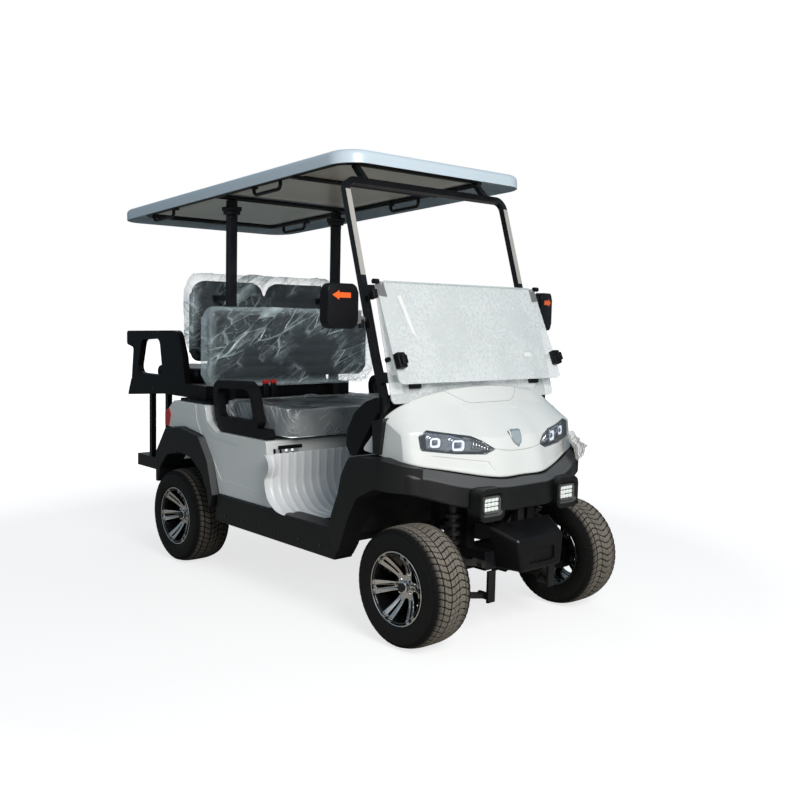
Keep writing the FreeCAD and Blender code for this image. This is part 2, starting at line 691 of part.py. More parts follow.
def tail_lamps():
    return feature("tail_lamps", Part.makeCompound(both_sides(tail_lamp(0))))


# Wheel-arch flares
def flare(profile, outer_y, depth, wall):
    """A hollow flare, open towards the cart, on the cart's left: its skin and the space inside."""
    corners = [(x, z) for x, z, radius in profile]
    radii = [radius for x, z, radius in profile]
    outer = plate(corners, radii, outer_y - depth, outer_y)
    rim = [e for e in outer.Edges if e.BoundBox.YMin > outer_y - 0.01]
    inner = plate(inset(corners, [wall] * len(corners)), [max(r - wall, 2) for r in radii],
                  outer_y - depth - 1, outer_y - wall)
    return outer.makeFillet(5, rim), inner


def rear_flare_corners():
    """The band between the white side and the rear wheel arch, with the radius of each corner."""
    over = [(x, z, radius) for (x, z), radius in zip(arch_line(), (20, 40, 60, 50, 3))]
    under = [(345, -60, 4), (322, 20, 60), (262, 122, 60), (150, 190, 60), (30, 206, 60), (-110, 172, 60),
             (-190, 90, 50), (-205, 10, 4)]
    behind = [(-232, 10, 4), (-235, 175, 40)]
    profile = [(rear_x + x, floor_z + z, radius) for x, z, radius in behind] + over
    profile += [(rear_x + x, floor_z + z, radius) for x, z, radius in under]
    return list(reversed(profile))


def rear_flares():
    outer, inner = flare(rear_flare_corners(), d.flare_half_width, d.flare_depth, d.panel_wall)
    return feature("rear_flares", Part.makeCompound(both_sides(outer.cut(inner))))


# Black nose band by distance from the centre line: rear face, lower edge and its toe, then the
# crease and the top edge, all measured ahead of the front axle
NOSE = ((0, 92, 556, 196, 190, 662, 160, 690), (155, 90, 558, 193, 187, 663, 157, 691),
        (180, 84, 561, 184, 178, 663, 146, 694), (300, 58, 576, 148, 142, 665, 104, 714),
        (420, 26, 602, 104, 99, 690, 58, 737), (500, -4, 628, 62, 60, 710, 22, 752),
        (575, -60, 650, 0, 2, 730, -36, 762))


# Front bumper: a band round the nose that runs back over both wheels
def bumper_stations():
    stations = []
    for y, back, low, toe, crease_x, crease_z, top_x, top_z in NOSE:
        x = front_x
        stations.append((y, [(x + back, low), (x + toe, low), (x + crease_x, crease_z),
                             (x + top_x, top_z), (x + back, top_z)]))
    return stations


def front_flare_corners():
    """The flare's side profile with the radius of each corner, up its rear edge and round the arch."""
    profile = [(-430, 22, 3), (-408, 100, 60), (-368, 190, 40), (-345, 280, 40), (-296, 362, 40),
               (-110, 377, 60), (-40, 366, 30), (60, 345, 4), (60, 230, 4), (10, 243, 20), (-130, 246, 50),
               (-240, 190, 60), (-302, 80, 60), (-345, -40, 30), (-385, -100, 3), (-395, -60, 3)]
    return [(front_x + x, floor_z + z, radius) for x, z, radius in reversed(profile)]


def plan_block(grow):
    """The cart's nose seen from above, pulled up: it trims the flares' front corners."""
    x = front_x
    side = d.flare_half_width + grow
    corner = [V(x - 110, -side, 200), V(x - 40, -side + 18, 200), V(x + 6 + grow, -575, 200),
              V(x + 64 + grow, -500, 200), V(x + 104 + grow, -420, 200)]
    curve = Part.BSplineCurve()
    curve.interpolate(corner)
    right_start, left_start = V(x - 700, -side, 200), V(x - 700, side, 200)
    left_end, left_corner = V(x + 104 + grow, 420, 200), V(x - 110, side, 200)
    edges = [Part.makeLine(right_start, corner[0]), curve.toShape(), Part.makeLine(corner[-1], left_end),
             curve.toShape().mirror(V(), Y_AXIS), Part.makeLine(left_corner, left_start),
             Part.makeLine(left_start, right_start)]
    return Part.Face(Part.Wire(Part.__sortEdges__(edges))).extrude(V(0, 0, 700))


def fog_block(wide, tall, start, deep, corner):
    """A rounded block facing forward round the left fog lamp's centre."""
    block = Part.makeBox(deep, wide, tall, V(front_x + start, d.fog_y - wide / 2, d.fog_z - tall / 2))
    return block.makeFillet(corner, [e for e in block.Edges if along(X_AXIS)(e)])


def fog_mouth():
    """The bezel's flared mouth, wider towards the front."""
    rings = []
    for ahead, grow in ((-14, 0), (2, 12)):
        half_y, half_z = d.fog_wide / 2 + grow, d.fog_tall / 2 + grow
        x = front_x + d.fog_reach + ahead
        rings.append(rounded([V(x, d.fog_y + a * half_y, d.fog_z + b * half_z)
                              for a, b in ((-1, -1), (1, -1), (1, 1), (-1, 1))], 18 + grow / 2))
    return Part.makeLoft(rings, True, True)


def front_bumper():
    """The nose band, its flares and the fog lamps' bezels, one moulding."""
    wall = d.panel_wall
    stations = bumper_stations()
    outer = across(mirrored(stations), [3, 8, 16, 10, 4])
    inner_rows = [(y * 0.985, inset(corners, [wall, wall, wall, wall, -30])) for y, corners in stations]
    inner = across(mirrored(inner_rows), [3, 5, 12, 6, 4])
    skin, core = flare(front_flare_corners(), d.flare_half_width, d.flare_depth - 20, wall)
    skin, core = skin.common(plan_block(0)), core.common(plan_block(-wall))
    bezel = d.fog_bezel
    clear = 2 * d.running_clearance
    bezels = both_sides(fog_block(bezel, bezel * 0.93, d.fog_reach - 60, 62, 34))
    lamps = both_sides(fog_block(d.fog_wide + clear, d.fog_tall + clear, d.fog_reach - 70, 100, 18))
    shape = outer.multiFuse(both_sides(skin)).cut(inner)
    for space in both_sides(core):
        shape = shape.cut(space)
    shape = shape.multiFuse(bezels)
    gap = d.running_clearance
    for hole in lamps + both_sides(fog_mouth()) + both_sides(boot(gap)) + [windscreen_tube(gap),
                                                                           cowl_solid(gap)]:
        shape = shape.cut(hole)
    biggest = max(shape.Solids, key=lambda solid: solid.Volume)
    return feature("front_bumper", biggest)


def bumper_box():
    """The housing under the nose band: a sloping shelf over a rounded front with a pressed slot."""
    x = front_x
    back_x = x + d.rail_front_forward + d.running_clearance
    front = [V(x + 279, -128, 300), V(x + 279, 128, 300), V(x + 270, 152, 440), V(x + 270, -152, 440)]
    back = [V(back_x, -150, 300), V(back_x, 150, 300), V(back_x, 205, 492), V(back_x, -205, 492)]
    solid = Part.makeLoft([Part.makePolygon(back + back[:1]), Part.makePolygon(front + front[:1])], True,
                          True)
    rim_edges = [e for e in solid.Edges if e.BoundBox.XMax > back_x + 1]
    solid = solid.makeFillet(16, rim_edges)
    slot = Part.makeBox(20, 170, 62, V(x + 266, -85, 332))
    slot = slot.makeFillet(10, [e for e in slot.Edges if along(X_AXIS)(e)])
    return feature("bumper_box", solid.cut(slot))


# Side profiles of the white cowl by distance from the centre line: rear foot, chin, nose crease,
# bonnet lip, mid bonnet and windscreen foot
COWL = (
    (0, (-300, 764), (158, 692), (125, 812), (104, 860), (-52, 1002), (-116, 1072)),
    (140, (-300, 764), (157, 693), (124, 812), (100, 860), (-54, 998), (-116, 1067)),
    (175, (-300, 765), (147, 696), (114, 813), (92, 862), (-55, 996), (-117, 1064)),
    (300, (-300, 768), (104, 717), (84, 812), (68, 878), (-59, 986), (-120, 1048)),
    (430, (-298, 778), (50, 741), (38, 816), (26, 892), (-68, 968), (-126, 1016)),
    (510, (-296, 788), (16, 756), (2, 826), (-8, 894), (-92, 944), (-150, 972)),
    (545, (-294, 792), (-30, 770), (-36, 826), (-46, 880), (-112, 914), (-160, 936)),
)


# Front cowl: the white bonnet, a shell open below and behind
def cowl_rows():
    return [(y, [(front_x + x, z) for x, z in points]) for y, *points in COWL]


def cowl_solid(grow=0.0):
    """The cowl's whole outer form, grown outward for what seats over it."""
    spread = 1 + grow / COWL[-1][0]
    rows = [(y * spread, inset(corners, [0, -grow, -grow, -grow, -grow, 0])) for y, corners in cowl_rows()]
    return across(mirrored(rows), [10, 8, 16, 16, 60, 12])


def headlamp_outline():
    """The lamp seen from the front, left side, as (y, z)."""
    return [(146, 814), (200, 850), (256, 873), (362, 889), (452, 903), (494, 884), (488, 820),
            (344, 802), (196, 794)]


def headlamp_prism(clear):
    points = inset(list(reversed(headlamp_outline())), [-clear] * 9)
    wire = rounded([V(front_x - 150, y, z) for y, z in points], [16, 30, 12, 16, 20, 30, 30, 16, 4])
    return Part.Face(wire).extrude(V(420, 0, 0))


def headlamp():
    """A lamp block behind its clear cover, flush with the cowl, on the left."""
    deep = cowl_solid(-d.panel_wall - 40)
    return headlamp_prism(0).common(cowl_solid(3)).cut(deep)


def fascia_recess():
    """The shallow trapezoid pressed in below each headlamp, on the left."""
    points = [(190, 764), (452, 800), (434, 750), (162, 716)]
    wire = rounded([V(front_x - 100, y, z) for y, z in points], [8, 8, 6, 6])
    return Part.Face(wire).extrude(V(300, 0, 0)).common(cowl_solid(5)).cut(cowl_solid(-d.press_depth))


def bonnet_ridge():
    """The raised panel in the middle of the bonnet, narrower towards the nose."""
    points = [(-160, 250), (-20, 176), (-20, -176), (-160, -250)]
    wire = rounded([V(front_x + x, y, 900) for x, y in points], [4, 30, 30, 4])
    return Part.Face(wire).extrude(V(0, 0, 300)).common(cowl_solid(d.press_depth)).cut(cowl_solid(-2))


def front_cowl():
    wall = d.panel_wall
    rows = []
    for y, corners in cowl_rows():
        limit = y - wall if y > 540 else y
        rows.append((limit, inset(corners, [-20, wall, wall, wall, wall, -20])))
    skin = cowl_solid().fuse(bonnet_ridge()).cut(across(mirrored(rows), [6, 6, 12, 12, 55, 10]))
    gap = d.running_clearance
    openings = both_sides(headlamp_prism(gap)) + both_sides(boot(gap)) + both_sides(fascia_recess())
    for opening in openings + [behind_pane()]:
        skin = skin.cut(opening)
    biggest = max(skin.Solids, key=lambda solid: solid.Volume)
    return feature("front_cowl", biggest)


def front_lamps():
    """The headlamps in the cowl and the fog lamps in the bumper's bezels."""
    fog = both_sides(fog_block(d.fog_wide, d.fog_tall, d.fog_reach - 46, 36, 18))
    return feature("front_lamps", Part.makeCompound(both_sides(headlamp()) + fog))


# Dashboard: a curved beam across the cart behind the cowl, with the steering column
def column_shape():
    centre, axis = steering_centre(), steering_axis()
    top = centre - axis * (50 + d.running_clearance)
    return Part.makeCylinder(d.column_radius, d.column_length, top, axis * -1)


def dashboard():
    x = front_x
    face = x + d.pillar_forward - d.pillar_tube / 2 - d.running_clearance
    wing = [(face, 1030), (x - 280, 1002), (x - 353, 947), (x - 400, 867), (x - 404, 800), (x - 372, 757),
            (x - 334, 762), (x - 288, 835), (x - 237, 906), (face, 960)]
    shape = plate(list(reversed(wing)), [8, 60, 60, 10, 16, 30, 60, 60, 60, 8], -545, 545)
    shelf = plate([(face - 20, 1016), (face + 46, 1034), (face + 46, 1044), (face - 20, 1030)], 3, -490,
                  490)
    shape = shape.multiFuse([column_shape(), shelf])
    gap = d.running_clearance
    for side in both_sides(boot(gap)) + [windscreen_tube(gap)]:
        shape = shape.cut(side)
    return feature("dashboard", shape)


# Wheels
def rim(label, x, y, turn):
    """A cast disc with paired spokes on a drop-centre barrel."""
    item = body(label)
    profile = [
        ("-rim_lip_offset", "rim_seat_radius - rim_wall"), ("rim_lip_offset", "rim_seat_radius - rim_wall"),
        ("rim_lip_offset", "rim_lip_radius"), ("rim_lip_offset - rim_lip_width", "rim_lip_radius"),
        ("rim_lip_offset - rim_lip_width", "rim_seat_radius"), ("rim_lip_width - rim_lip_offset",
                                                                "rim_seat_radius"),
        ("rim_lip_width - rim_lip_offset", "rim_lip_radius"), ("-rim_lip_offset", "rim_lip_radius"),
    ]
    revolve(item, outline(item, "YZ_Plane", "barrel", profile), "Barrel")
    back, bore = "disc_offset - disc_thickness", "stub_radius + running_clearance"
    end = "disc_offset - disc_thickness / 2 + running_clearance"
    disc = [(back, "hub_radius"), ("disc_offset", "hub_radius"),
            ("disc_offset", "rim_seat_radius - rim_wall + 1"),
            (back, "rim_seat_radius - rim_wall + 1")]
    revolve(item, outline(item, "YZ_Plane", "disc", disc), "Disc")
    hub = [("0", bore), (end, bore), (end, "0"), ("disc_offset + 14", "0"),
           ("disc_offset + 14", "hub_radius - 8"),
           ("disc_offset", "hub_radius + 1"), (back, "hub_radius + 1"), ("0", "hub_radius + 1")]
    revolve(item, outline(item, "YZ_Plane", "hub", hub), "Hub")
    window = [("30", "56"), ("50", "126"), ("-50", "126"), ("-30", "56")]
    cut = pocket(item, outline(item, "XZ_Plane", "window", window, "-disc_offset - 5"),
                 "disc_thickness + 10",
                 name="Window", reversed_way=True)
    pattern = item.newObject("PartDesign::PolarPattern", "Windows")
    pattern.Originals = [cut]
    pattern.Axis = (next(f for f in item.Origin.OriginFeatures if f.Role == "Y_Axis"), [""])
    pattern.Angle = 360
    bind(pattern, Occurrences="spoke_pairs")
    item.Tip = pattern
    place(item, x, y, "tyre_radius", Z_AXIS, turn)
    return item


def tyre(label, x, y, turn):
    """A carcass of one wall, open towards the rim, in flat facets with one edge on the ground."""
    sides = int(d.tyre_facets)
    radius, half, crown = d.tyre_radius, d.tyre_width / 2, d.tyre_crown_width / 2
    bead, wall = d.rim_lip_offset - d.rim_lip_width, d.tyre_wall
    spread = 1 / math.cos(math.pi / sides)
    seat, lip = d.rim_seat_radius * spread, d.rim_lip_radius * spread + d.running_clearance
    right = [(bead, seat), (bead, lip), (half, d.rim_lip_radius + 18), (half, radius - 34),
             (crown, radius - 4), (45, radius)]
    inside = [(-bead + wall, seat), (wall - half, radius - 34 - wall / 2),
              (-crown + wall / 2, radius - wall - 4)]
    section = right + [(-a, r) for a, r in reversed(right)] + inside + [(-a, r) for a,
                                                                        r in reversed(inside)]
    rings = [[V(r * math.sin(math.tau * k / sides), a, -r * math.cos(math.tau * k / sides)) for a,
              r in section]
             for k in range(sides)]
    faces = []
    for k, ring in enumerate(rings):
        ahead = rings[(k + 1) % sides]
        for i, corner in enumerate(ring):
            j = (i + 1) % len(ring)
            faces.append(Part.Face(Part.makePolygon([corner, ahead[i], ahead[j], ring[j], corner])))
    solid = Part.makeSolid(Part.makeShell(faces))
    if solid.Volume < 0:
        solid.reverse()
    item = feature(label, solid)
    place(item, x, y, "tyre_radius", Z_AXIS, turn)
    return item


WHEELS = (("front_left", FRONT, "front_track / 2", "0"), ("front_right", FRONT, "-front_track / 2", "180"),
          ("rear_left", "rear_axle_x", "rear_track / 2", "0"), ("rear_right", "rear_axle_x",
                                                                "-rear_track / 2", "180"))


# Steering knuckles: kingpin post, stub axle and the arm that the tie rod moves
def knuckle(sign):
    low, high = d.lower_joint_z, d.upper_joint_z
    axle = d.tyre_radius
    post = Part.makeCylinder(d.kingpin_radius, high - low, V(front_x, d.kingpin_y, low))
    tip = d.front_track / 2 + d.disc_offset - d.disc_thickness / 2
    stub = Part.makeCylinder(d.stub_radius, tip - d.kingpin_y, V(front_x, d.kingpin_y, axle), Y_AXIS)
    flange = Part.makeCylinder(62, 8, V(front_x, d.kingpin_y + 30, axle), Y_AXIS)
    arm_z = axle - 12
    end = V(front_x - d.steer_arm_length, d.steer_arm_y, arm_z)
    start = V(front_x, d.kingpin_y, arm_z)
    run = (end - start).normalize()
    side = V(-run.y, run.x, 0) * 13
    face = Part.Face(Part.makePolygon([start - side, end - side, end + side, start + side, start - side]))
    arm = face.extrude(V(0, 0, 14))
    boss = Part.makeCylinder(17, 14, end)
    left = post.multiFuse([stub, flange, arm, boss])
    return left if sign > 0 else left.mirror(V(), Y_AXIS)


def tie_rod():
    """One bar between the arms, its eyes just under them, and the rack bar it carries."""
    z = d.tyre_radius - 12 - d.running_clearance - 9
    x = front_x - d.steer_arm_length
    eyes = [Part.makeCylinder(17, 18, V(x, sign * d.steer_arm_y, z - 9)) for sign in (-1, 1)]
    bar = Part.makeCylinder(d.tie_rod_radius, 2 * d.steer_arm_y, V(x, -d.steer_arm_y, z), Y_AXIS)
    return feature("tie_rod", bar.multiFuse(eyes))


# Steering wheel
def steering_wheel():
    centre, axis = steering_centre(), steering_axis()
    ring = Part.makeTorus(d.wheel_ring_radius, d.wheel_ring_tube, V(), Z_AXIS)
    hub = Part.makeCylinder(46, 48, V(0, 0, -50))
    spokes = []
    for angle in (90, 210, 330):
        spoke = Part.makeBox(d.wheel_ring_radius - 20, 30, 12, V(20, -15, -14))
        spoke.rotate(V(), Z_AXIS, angle)
        spokes.append(spoke)
    shape = ring.multiFuse([hub] + spokes)
    shape.Placement = FreeCAD.Placement(centre, FreeCAD.Rotation(Z_AXIS, axis))
    return feature("steering_wheel", shape)


# Pedals on the toe board
def pedals():
    """Brake and accelerator on stems square to the toe board, in its own tilted frame."""
    lean = math.atan2(d.toe_run, d.toe_rise)
    foot = V(front_x + d.toe_forward - d.floor_thickness / 2, 0, floor_z)
    shapes = []
    for y, wide in ((180, 110), (345, 70)):
        pad_shape = Part.makeBox(12, wide, 110, V(-66, y - wide / 2, 70))
        stem = Part.makeBox(54 - d.running_clearance, 18, 18, V(-54, y - 9, 120))
        shapes.append(pad_shape.fuse(stem))
    group = Part.makeCompound(shapes)
    group.Placement = FreeCAD.Placement(foot, FreeCAD.Rotation(Y_AXIS, math.degrees(lean)))
    return feature("pedals", group)


# Seats
def padded_block(label, x, y, z, long, wide, tall, radius, lean="0"):
    """A cushion block with soft edges, placed by its low rear corner line."""
    item = body(label)
    corners = [("0", f"-({wide}) / 2"), (long, f"-({wide}) / 2"), (long, f"({wide}) / 2"),
               ("0", f"({wide}) / 2")]
    block = pad(item, outline(item, "XY_Plane", label + "_plan", corners), tall)
    fillet(item, block, radius, lambda edge: True)
    place(item, x, y, z, Y_AXIS, lean)
    return item


def seat_cushion_front():
    """The hinged cushion on its moulded pan."""
    rear = "rear_axle_x + cushion_rear_back"
    cushion = padded_block("seat_cushion", rear, "0", "seat_base_z + pan_thick + 2 * running_clearance",
                           "cushion_long", "2 * cushion_half_width", "cushion_thick", "pad_radius")
    pan = box("seat_pan", rear + " + 10", "-cushion_half_width + 20", "seat_base_z + running_clearance",
              "cushion_long - 20", "2 * cushion_half_width - 40", "pan_thick")
    return together("front_seat_cushion", cushion, pan)


def front_backrest():
    return padded_block("front_backrest",
                        "rear_axle_x + strut_x_back + strut_long / 2 + running_clearance", "0", "back_pad_z",
                        "back_pad_thick", "2 * back_pad_half_width", "back_pad_tall", "pad_radius")


def rear_backrest():
    """Two pads side by side, each with round shoulders."""
    pads = []
    for side, way in (("left", "1"), ("right", "-1")):
        name = f"rear_pad_{side}"
        item = body(name)
        inner, outer = f"{way} * rear_pad_gap / 2", f"{way} * rear_pad_half_width"
        corners = [(inner, "0"), (outer, "0"), (outer, "rear_pad_tall"), (inner, "rear_pad_tall")]
        block = pad(item, outline(item, "YZ_Plane", name + "_face", corners), "back_pad_thick")
        lengthwise = along(X_AXIS)
        shoulders = fillet(item, block, "shoulder_radius",
                           lambda e: lengthwise(e) and e.BoundBox.ZMin > 1, "Shoulders")
        feet = fillet(item, shoulders, "pad_radius + 6", lambda e: lengthwise(e) and e.BoundBox.ZMax < 1,
                      "Feet")
        fillet(item, feet, "pad_radius", lambda e: e.BoundBox.XLength < 0.01, "Rim")
        place(item, "rear_axle_x + rear_pad_x_back", "0", "rear_pad_z")
        pads.append(item)
    return together("rear_backrest", *pads)


def rear_seat_cushion():
    return padded_block("rear_seat_cushion", "rear_axle_x + rear_cushion_back", "0",
                        "tray_top_z + running_clearance", "rear_cushion_long", "2 * rear_cushion_half_width",
                        "rear_cushion_thick", "pad_radius - 6")


# Arm loops beside the front seat
def side_loop(profile, hole, radii, hole_radii, thick):
    """An upright side frame: a rounded outline with a rounded opening, as thick as its bar."""
    outer = Part.Face(rounded([V(rear_x + x, 0, z) for x, z in profile], radii))
    inner = Part.Face(rounded([V(rear_x + x, 0, z) for x, z in hole], hole_radii))
    return outer.cut(inner).extrude(V(0, thick, 0))


def front_armrests():
    """A closed loop on a long foot at each side of the front seat."""
    z, thick = d.seat_base_z + d.running_clearance, 46
    loop = side_loop([(300, z + 40), (262, z + 262), (640, z + 280), (712, z + 40)],
                     [(340, z + 82), (308, z + 224), (610, z + 238), (662, z + 82)], [40, 60, 90,
                                                                                      40], [30, 30, 60, 30],
                     thick)
    foot = [(352, z), (290, z + 46), (770, z + 52), (796, z)]
    base = Part.Face(rounded([V(rear_x + x, 0, height) for x, height in foot], 14)).extrude(V(0, thick, 0))
    arm = loop.fuse(base)
    arm.translate(V(0, d.cushion_half_width + 12, 0))
    return feature("front_armrests", Part.makeCompound(both_sides(arm)))


# Roof on its rails, drawn level and then tilted
def roof_placement(item):
    return place(item, "rear_axle_x + roof_rear_back", "0", "roof_rear_z", Y_AXIS, "-roof_slope")


def roof():
    item = body("roof")
    corners = [("0", "-roof_half_width"), ("roof_length", "-roof_half_width"),
               ("roof_length", "roof_half_width"), ("0", "roof_half_width")]
    slab = pad(item, outline(item, "XY_Plane", "plan", corners), "roof_lip")
    corner = fillet(item, slab, "roof_corner", along(Z_AXIS))
    doc.recompute()
    top = fillet(item, corner, "roof_lip / 2 - 4", lambda e: e.BoundBox.ZMin > d.roof_lip - 0.01, "TopEdge")
    shell(item, top, "roof_wall", lambda f: f.BoundBox.ZMax < 0.01)
    return roof_placement(item)


def grab_handle(start):
    """A bent loop under the roof's side rail, on the left, in the roof's own frame."""
    y, z = d.roof_rail_y, rail_height()
    low = z - d.handle_drop
    end = start + d.handle_long
    return tube([V(start, y, z), V(start, y, low), V(end, y, low), V(end, y, z)], 24, d.handle_radius)


def roof_rails():
    """A closed ring of tube with two cross bars and the grab handles."""
    z = rail_height()
    low, high = d.roof_rail_inset, rail_front()
    y = d.roof_rail_y
    middle = (low + high) / 2
    ring = tube([V(middle, y, z), V(high, y, z), V(high, -y, z), V(low, -y, z), V(low, y, z),
                 V(middle, y, z)],
                60, d.rail_tube_radius)
    bars = [Part.makeCylinder(d.rail_tube_radius, 2 * y, V(x, -y, z), Y_AXIS)
            for x in (strut_bar_x(), high - d.front_bar_back)]
    handles = both_sides(grab_handle(d.rear_handle_x)) + both_sides(grab_handle(high - d.front_handle_back))
    return roof_placement(feature("roof_rails", ring.multiFuse(bars + handles)))


# Rear struts from the chassis up to the roof rails
def rear_struts():
    """Posts up to the roof rails with arms back to the rear backrest, and the tray's uprights."""
    slope = math.radians(d.roof_slope)
    gap = d.running_clearance
    centre_z = d.roof_rear_z + strut_bar_x() * math.sin(slope) + rail_height() * math.cos(slope)
    top = centre_z - d.rail_tube_radius - gap
    foot_z = d.rail_bottom + d.rail_tall + gap
    pad_front = rear_x + d.rear_pad_x_back + d.back_pad_thick + gap
    side = d.post_side
    upright_x = rear_x + d.rail_tail_back + 10
    deck_front = rear_x + d.footrest_rear_back + d.footrest_long + gap
    tray_under = d.tray_top_z - d.tray_wall - gap
    shapes = []
    for sign in (-1, 1):
        post = Part.makeBox(d.strut_long, d.strut_wide, top - foot_z,
                            V(strut_rear, sign * d.strut_y - d.strut_wide / 2, foot_z))
        arms = [Part.makeBox(strut_rear - pad_front, side, side,
                             V(pad_front, sign * d.strut_y - side / 2, z))
                for z in (d.rear_pad_z + 90, d.rear_pad_z + 350)]
        shapes.append(post.multiFuse(arms))
        y = sign * (d.rail_half_gap + d.rail_width / 2) - side / 2
        upright = Part.makeBox(side, side, tray_under - foot_z, V(upright_x, y, foot_z))
        reach = Part.makeBox(upright_x + 5 - deck_front, side, side,
                             V(deck_front, y, d.footrest_z - d.footrest_tall + 20))
        shapes.append(upright.fuse(reach))
    return feature("rear_struts", Part.makeCompound(shapes))


# Windscreen frame and its two panes
def windscreen_clips():
    """Blocks that hold both panes off the pillars, at the fold and near the bonnet."""
    shapes = []
    lean = math.radians(d.lower_pane_lean)
    face = d.pillar_tube / 2 * 1.06
    for drop, tall in ((14, 50), (d.lower_pane_tall - 150, 44)):
        z = d.pane_top_z - drop
        low_z = z - tall
        pane_x = front_x + d.pane_top_forward + math.sin(lean) * drop - d.running_clearance
        corners = [(pillar_x_at(low_z) + face, low_z), (pane_x + math.tan(lean) * tall, low_z),
                   (pane_x, z), (pillar_x_at(z) + face, z)]
        shapes += both_sides(plate(corners, 2, d.pillar_y - 14, d.pillar_y + 14))
    return shapes


def windscreen_frame():
    """The bent tube with a boot at each foot and clamps to the roof rails."""
    slope = math.radians(d.roof_slope)
    bar_x = front_x + d.pillar_top_forward - d.clamp_reach
    bar_z = d.roof_rear_z + rail_front() * math.sin(slope) + rail_height() * math.cos(slope)
    reach = d.rail_tube_radius + d.running_clearance
    clamp = [(bar_x - 14, bar_z - reach), (front_x + d.pillar_top_forward - 12, d.pillar_top_z),
             (front_x + d.pillar_top_forward + 14, d.pillar_top_z + 10), (bar_x + 16, bar_z - reach)]
    clamps = both_sides(plate(clamp, 2, 380, 410))
    extras = both_sides(boot(0)) + clamps + windscreen_clips()
    return feature("windscreen_frame", windscreen_tube(0).multiFuse(extras))


def pane(label, tall):
    item = body(label)
    corners = [("-pane_half_width", "0"), ("pane_half_width", "0"),
               ("pane_half_width + 12", f"-({tall})"), ("-pane_half_width - 12", f"-({tall})")]
    sheet_pad = pad(item, outline(item, "YZ_Plane", label + "_face", corners), "pane_thickness")
    fillet(item, sheet_pad, "24", along(X_AXIS))
    return item


def windscreen_panes():
    lower = pane("windscreen_lower", "lower_pane_tall")
    place(lower, FRONT + " + pane_top_forward", "0", "pane_top_z", Y_AXIS, "-lower_pane_lean")
    upper = pane("windscreen_upper", "upper_pane_tall")
    place(upper, FRONT + " + pane_top_forward + pane_gap", "0", "pane_top_z", Y_AXIS, "-upper_pane_lean")
    return together("windscreen_panes", lower, upper)


# Mirrors on short arms from the pillars
def mirrors():
    shapes = []
    x = front_x - 335
    head = Part.makeBox(d.mirror_deep, d.mirror_wide, d.mirror_tall,
                        V(x, d.mirror_y - d.mirror_wide / 2, d.mirror_z - d.mirror_tall / 2))
    head = head.makeFillet(20, [e for e in head.Edges if along(X_AXIS)(e)])
    arm = Part.makeBox(26, 90, 30, V(x + 10, d.pillar_y + d.pillar_tube / 2, d.mirror_z - 70))
    return feature("mirrors", Part.makeCompound(both_sides(head.fuse(arm))))


# Rear seat kit: tray, side frames and footrest
def rear_deck():
    gap = d.running_clearance
    low = d.deck_z + gap
    high = tray_low_z() - gap
    shape = Part.makeBox(330, 1110, high - low, V(rear_x - 100, -555, low))
    shape = shape.makeFillet(40, [e for e in shape.Edges if along(Z_AXIS)(e)])
    for sign in (-1, 1):
        shape = shape.cut(Part.makeBox(d.strut_long + 2 * gap, d.strut_wide + 2 * gap, 100,
                                       V(strut_rear - gap, sign * d.strut_y - d.strut_wide / 2 - gap,
                                         low - 50)))
    return shape


TRAY_RADII = [8, 30, 6, 6, 30, 12]


def rear_tray():
    """The seat tray, and the black plate over the white shell in front of it."""
    corners = tray_corners()
    half, wall = d.tray_half_width, d.tray_wall
    outer = plate(corners, TRAY_RADII, -half, half)
    inner = plate(inset(corners, [-10, -10, wall, wall, wall, wall]), [6, 20, 4, 4, 20, 8], wall - half,
                  half - wall)
    return feature("rear_tray", Part.makeCompound([outer.cut(inner), rear_deck()]))


def rear_armrests():
    """An A-shaped frame with a hand bar at each side of the rear seat."""
    z, low = d.tray_top_z, d.tray_top_z - 10
    profile = [(-770, low), (-745, z + 180), (-832, z + 196), (-832, z + 278), (-212, z + 296),
               (-150, z + 150), (-120, low)]
    hole = [(-700, z + 30), (-640, z + 230), (-420, z + 244), (-380, z + 30)]
    side = side_loop(profile, hole, [4, 20, 20, 20, 60, 60, 4], 40, d.arm_bar)
    side.translate(V(0, d.tray_half_width - d.arm_bar, 0))
    tray_top = plate(tray_corners(), TRAY_RADII, -d.tray_half_width, d.tray_half_width)
    return feature("rear_armrests", Part.makeCompound(both_sides(side.cut(tray_top))))


def footrest():
    x0 = rear_x + d.footrest_rear_back
    deck = Part.makeBox(d.footrest_long, 2 * d.footrest_half_width, d.footrest_tall,
                        V(x0, -d.footrest_half_width, d.footrest_z - d.footrest_tall))
    side = d.post_side
    top = d.tray_top_z - d.tray_wall - 10 - d.running_clearance
    posts = []
    for sign in (-1, 1):
        for back in (d.rear_post_back, d.front_post_back):
            posts.append(Part.makeBox(side, side, top - d.footrest_z,
                                      V(rear_x + back - side / 2, sign * d.post_y - side / 2,
                                        d.footrest_z)))
    return feature("footrest", deck.multiFuse(posts))


# Build every sub-part and write it
sub_parts = [
    chassis_frame(), front_hoop(), suspension_brackets(), front_wishbones(), springs_and_dampers(), rear_axle(),
    drive_motor(), battery_pack(), floor_pan(), side_sills(), rear_body(), rear_flares(),
    front_bumper(), front_cowl(), front_lamps(), dashboard(), tail_lamps(), bumper_box(), tie_rod(),
    steering_wheel(), pedals(), seat_cushion_front(), front_backrest(),
    rear_backrest(), rear_seat_cushion(), front_armrests(), roof(), roof_rails(), rear_struts(),
    windscreen_frame(), windscreen_panes(), mirrors(), rear_tray(), rear_armrests(), footrest(),
]
sub_parts += [feature("knuckle_left", knuckle(1)), feature("knuckle_right", knuckle(-1))]
for name, x, y, turn in WHEELS:
    sub_parts += [rim(f"rim_{name}", x, y, turn), tyre(f"tyre_{name}", x, y, turn)]

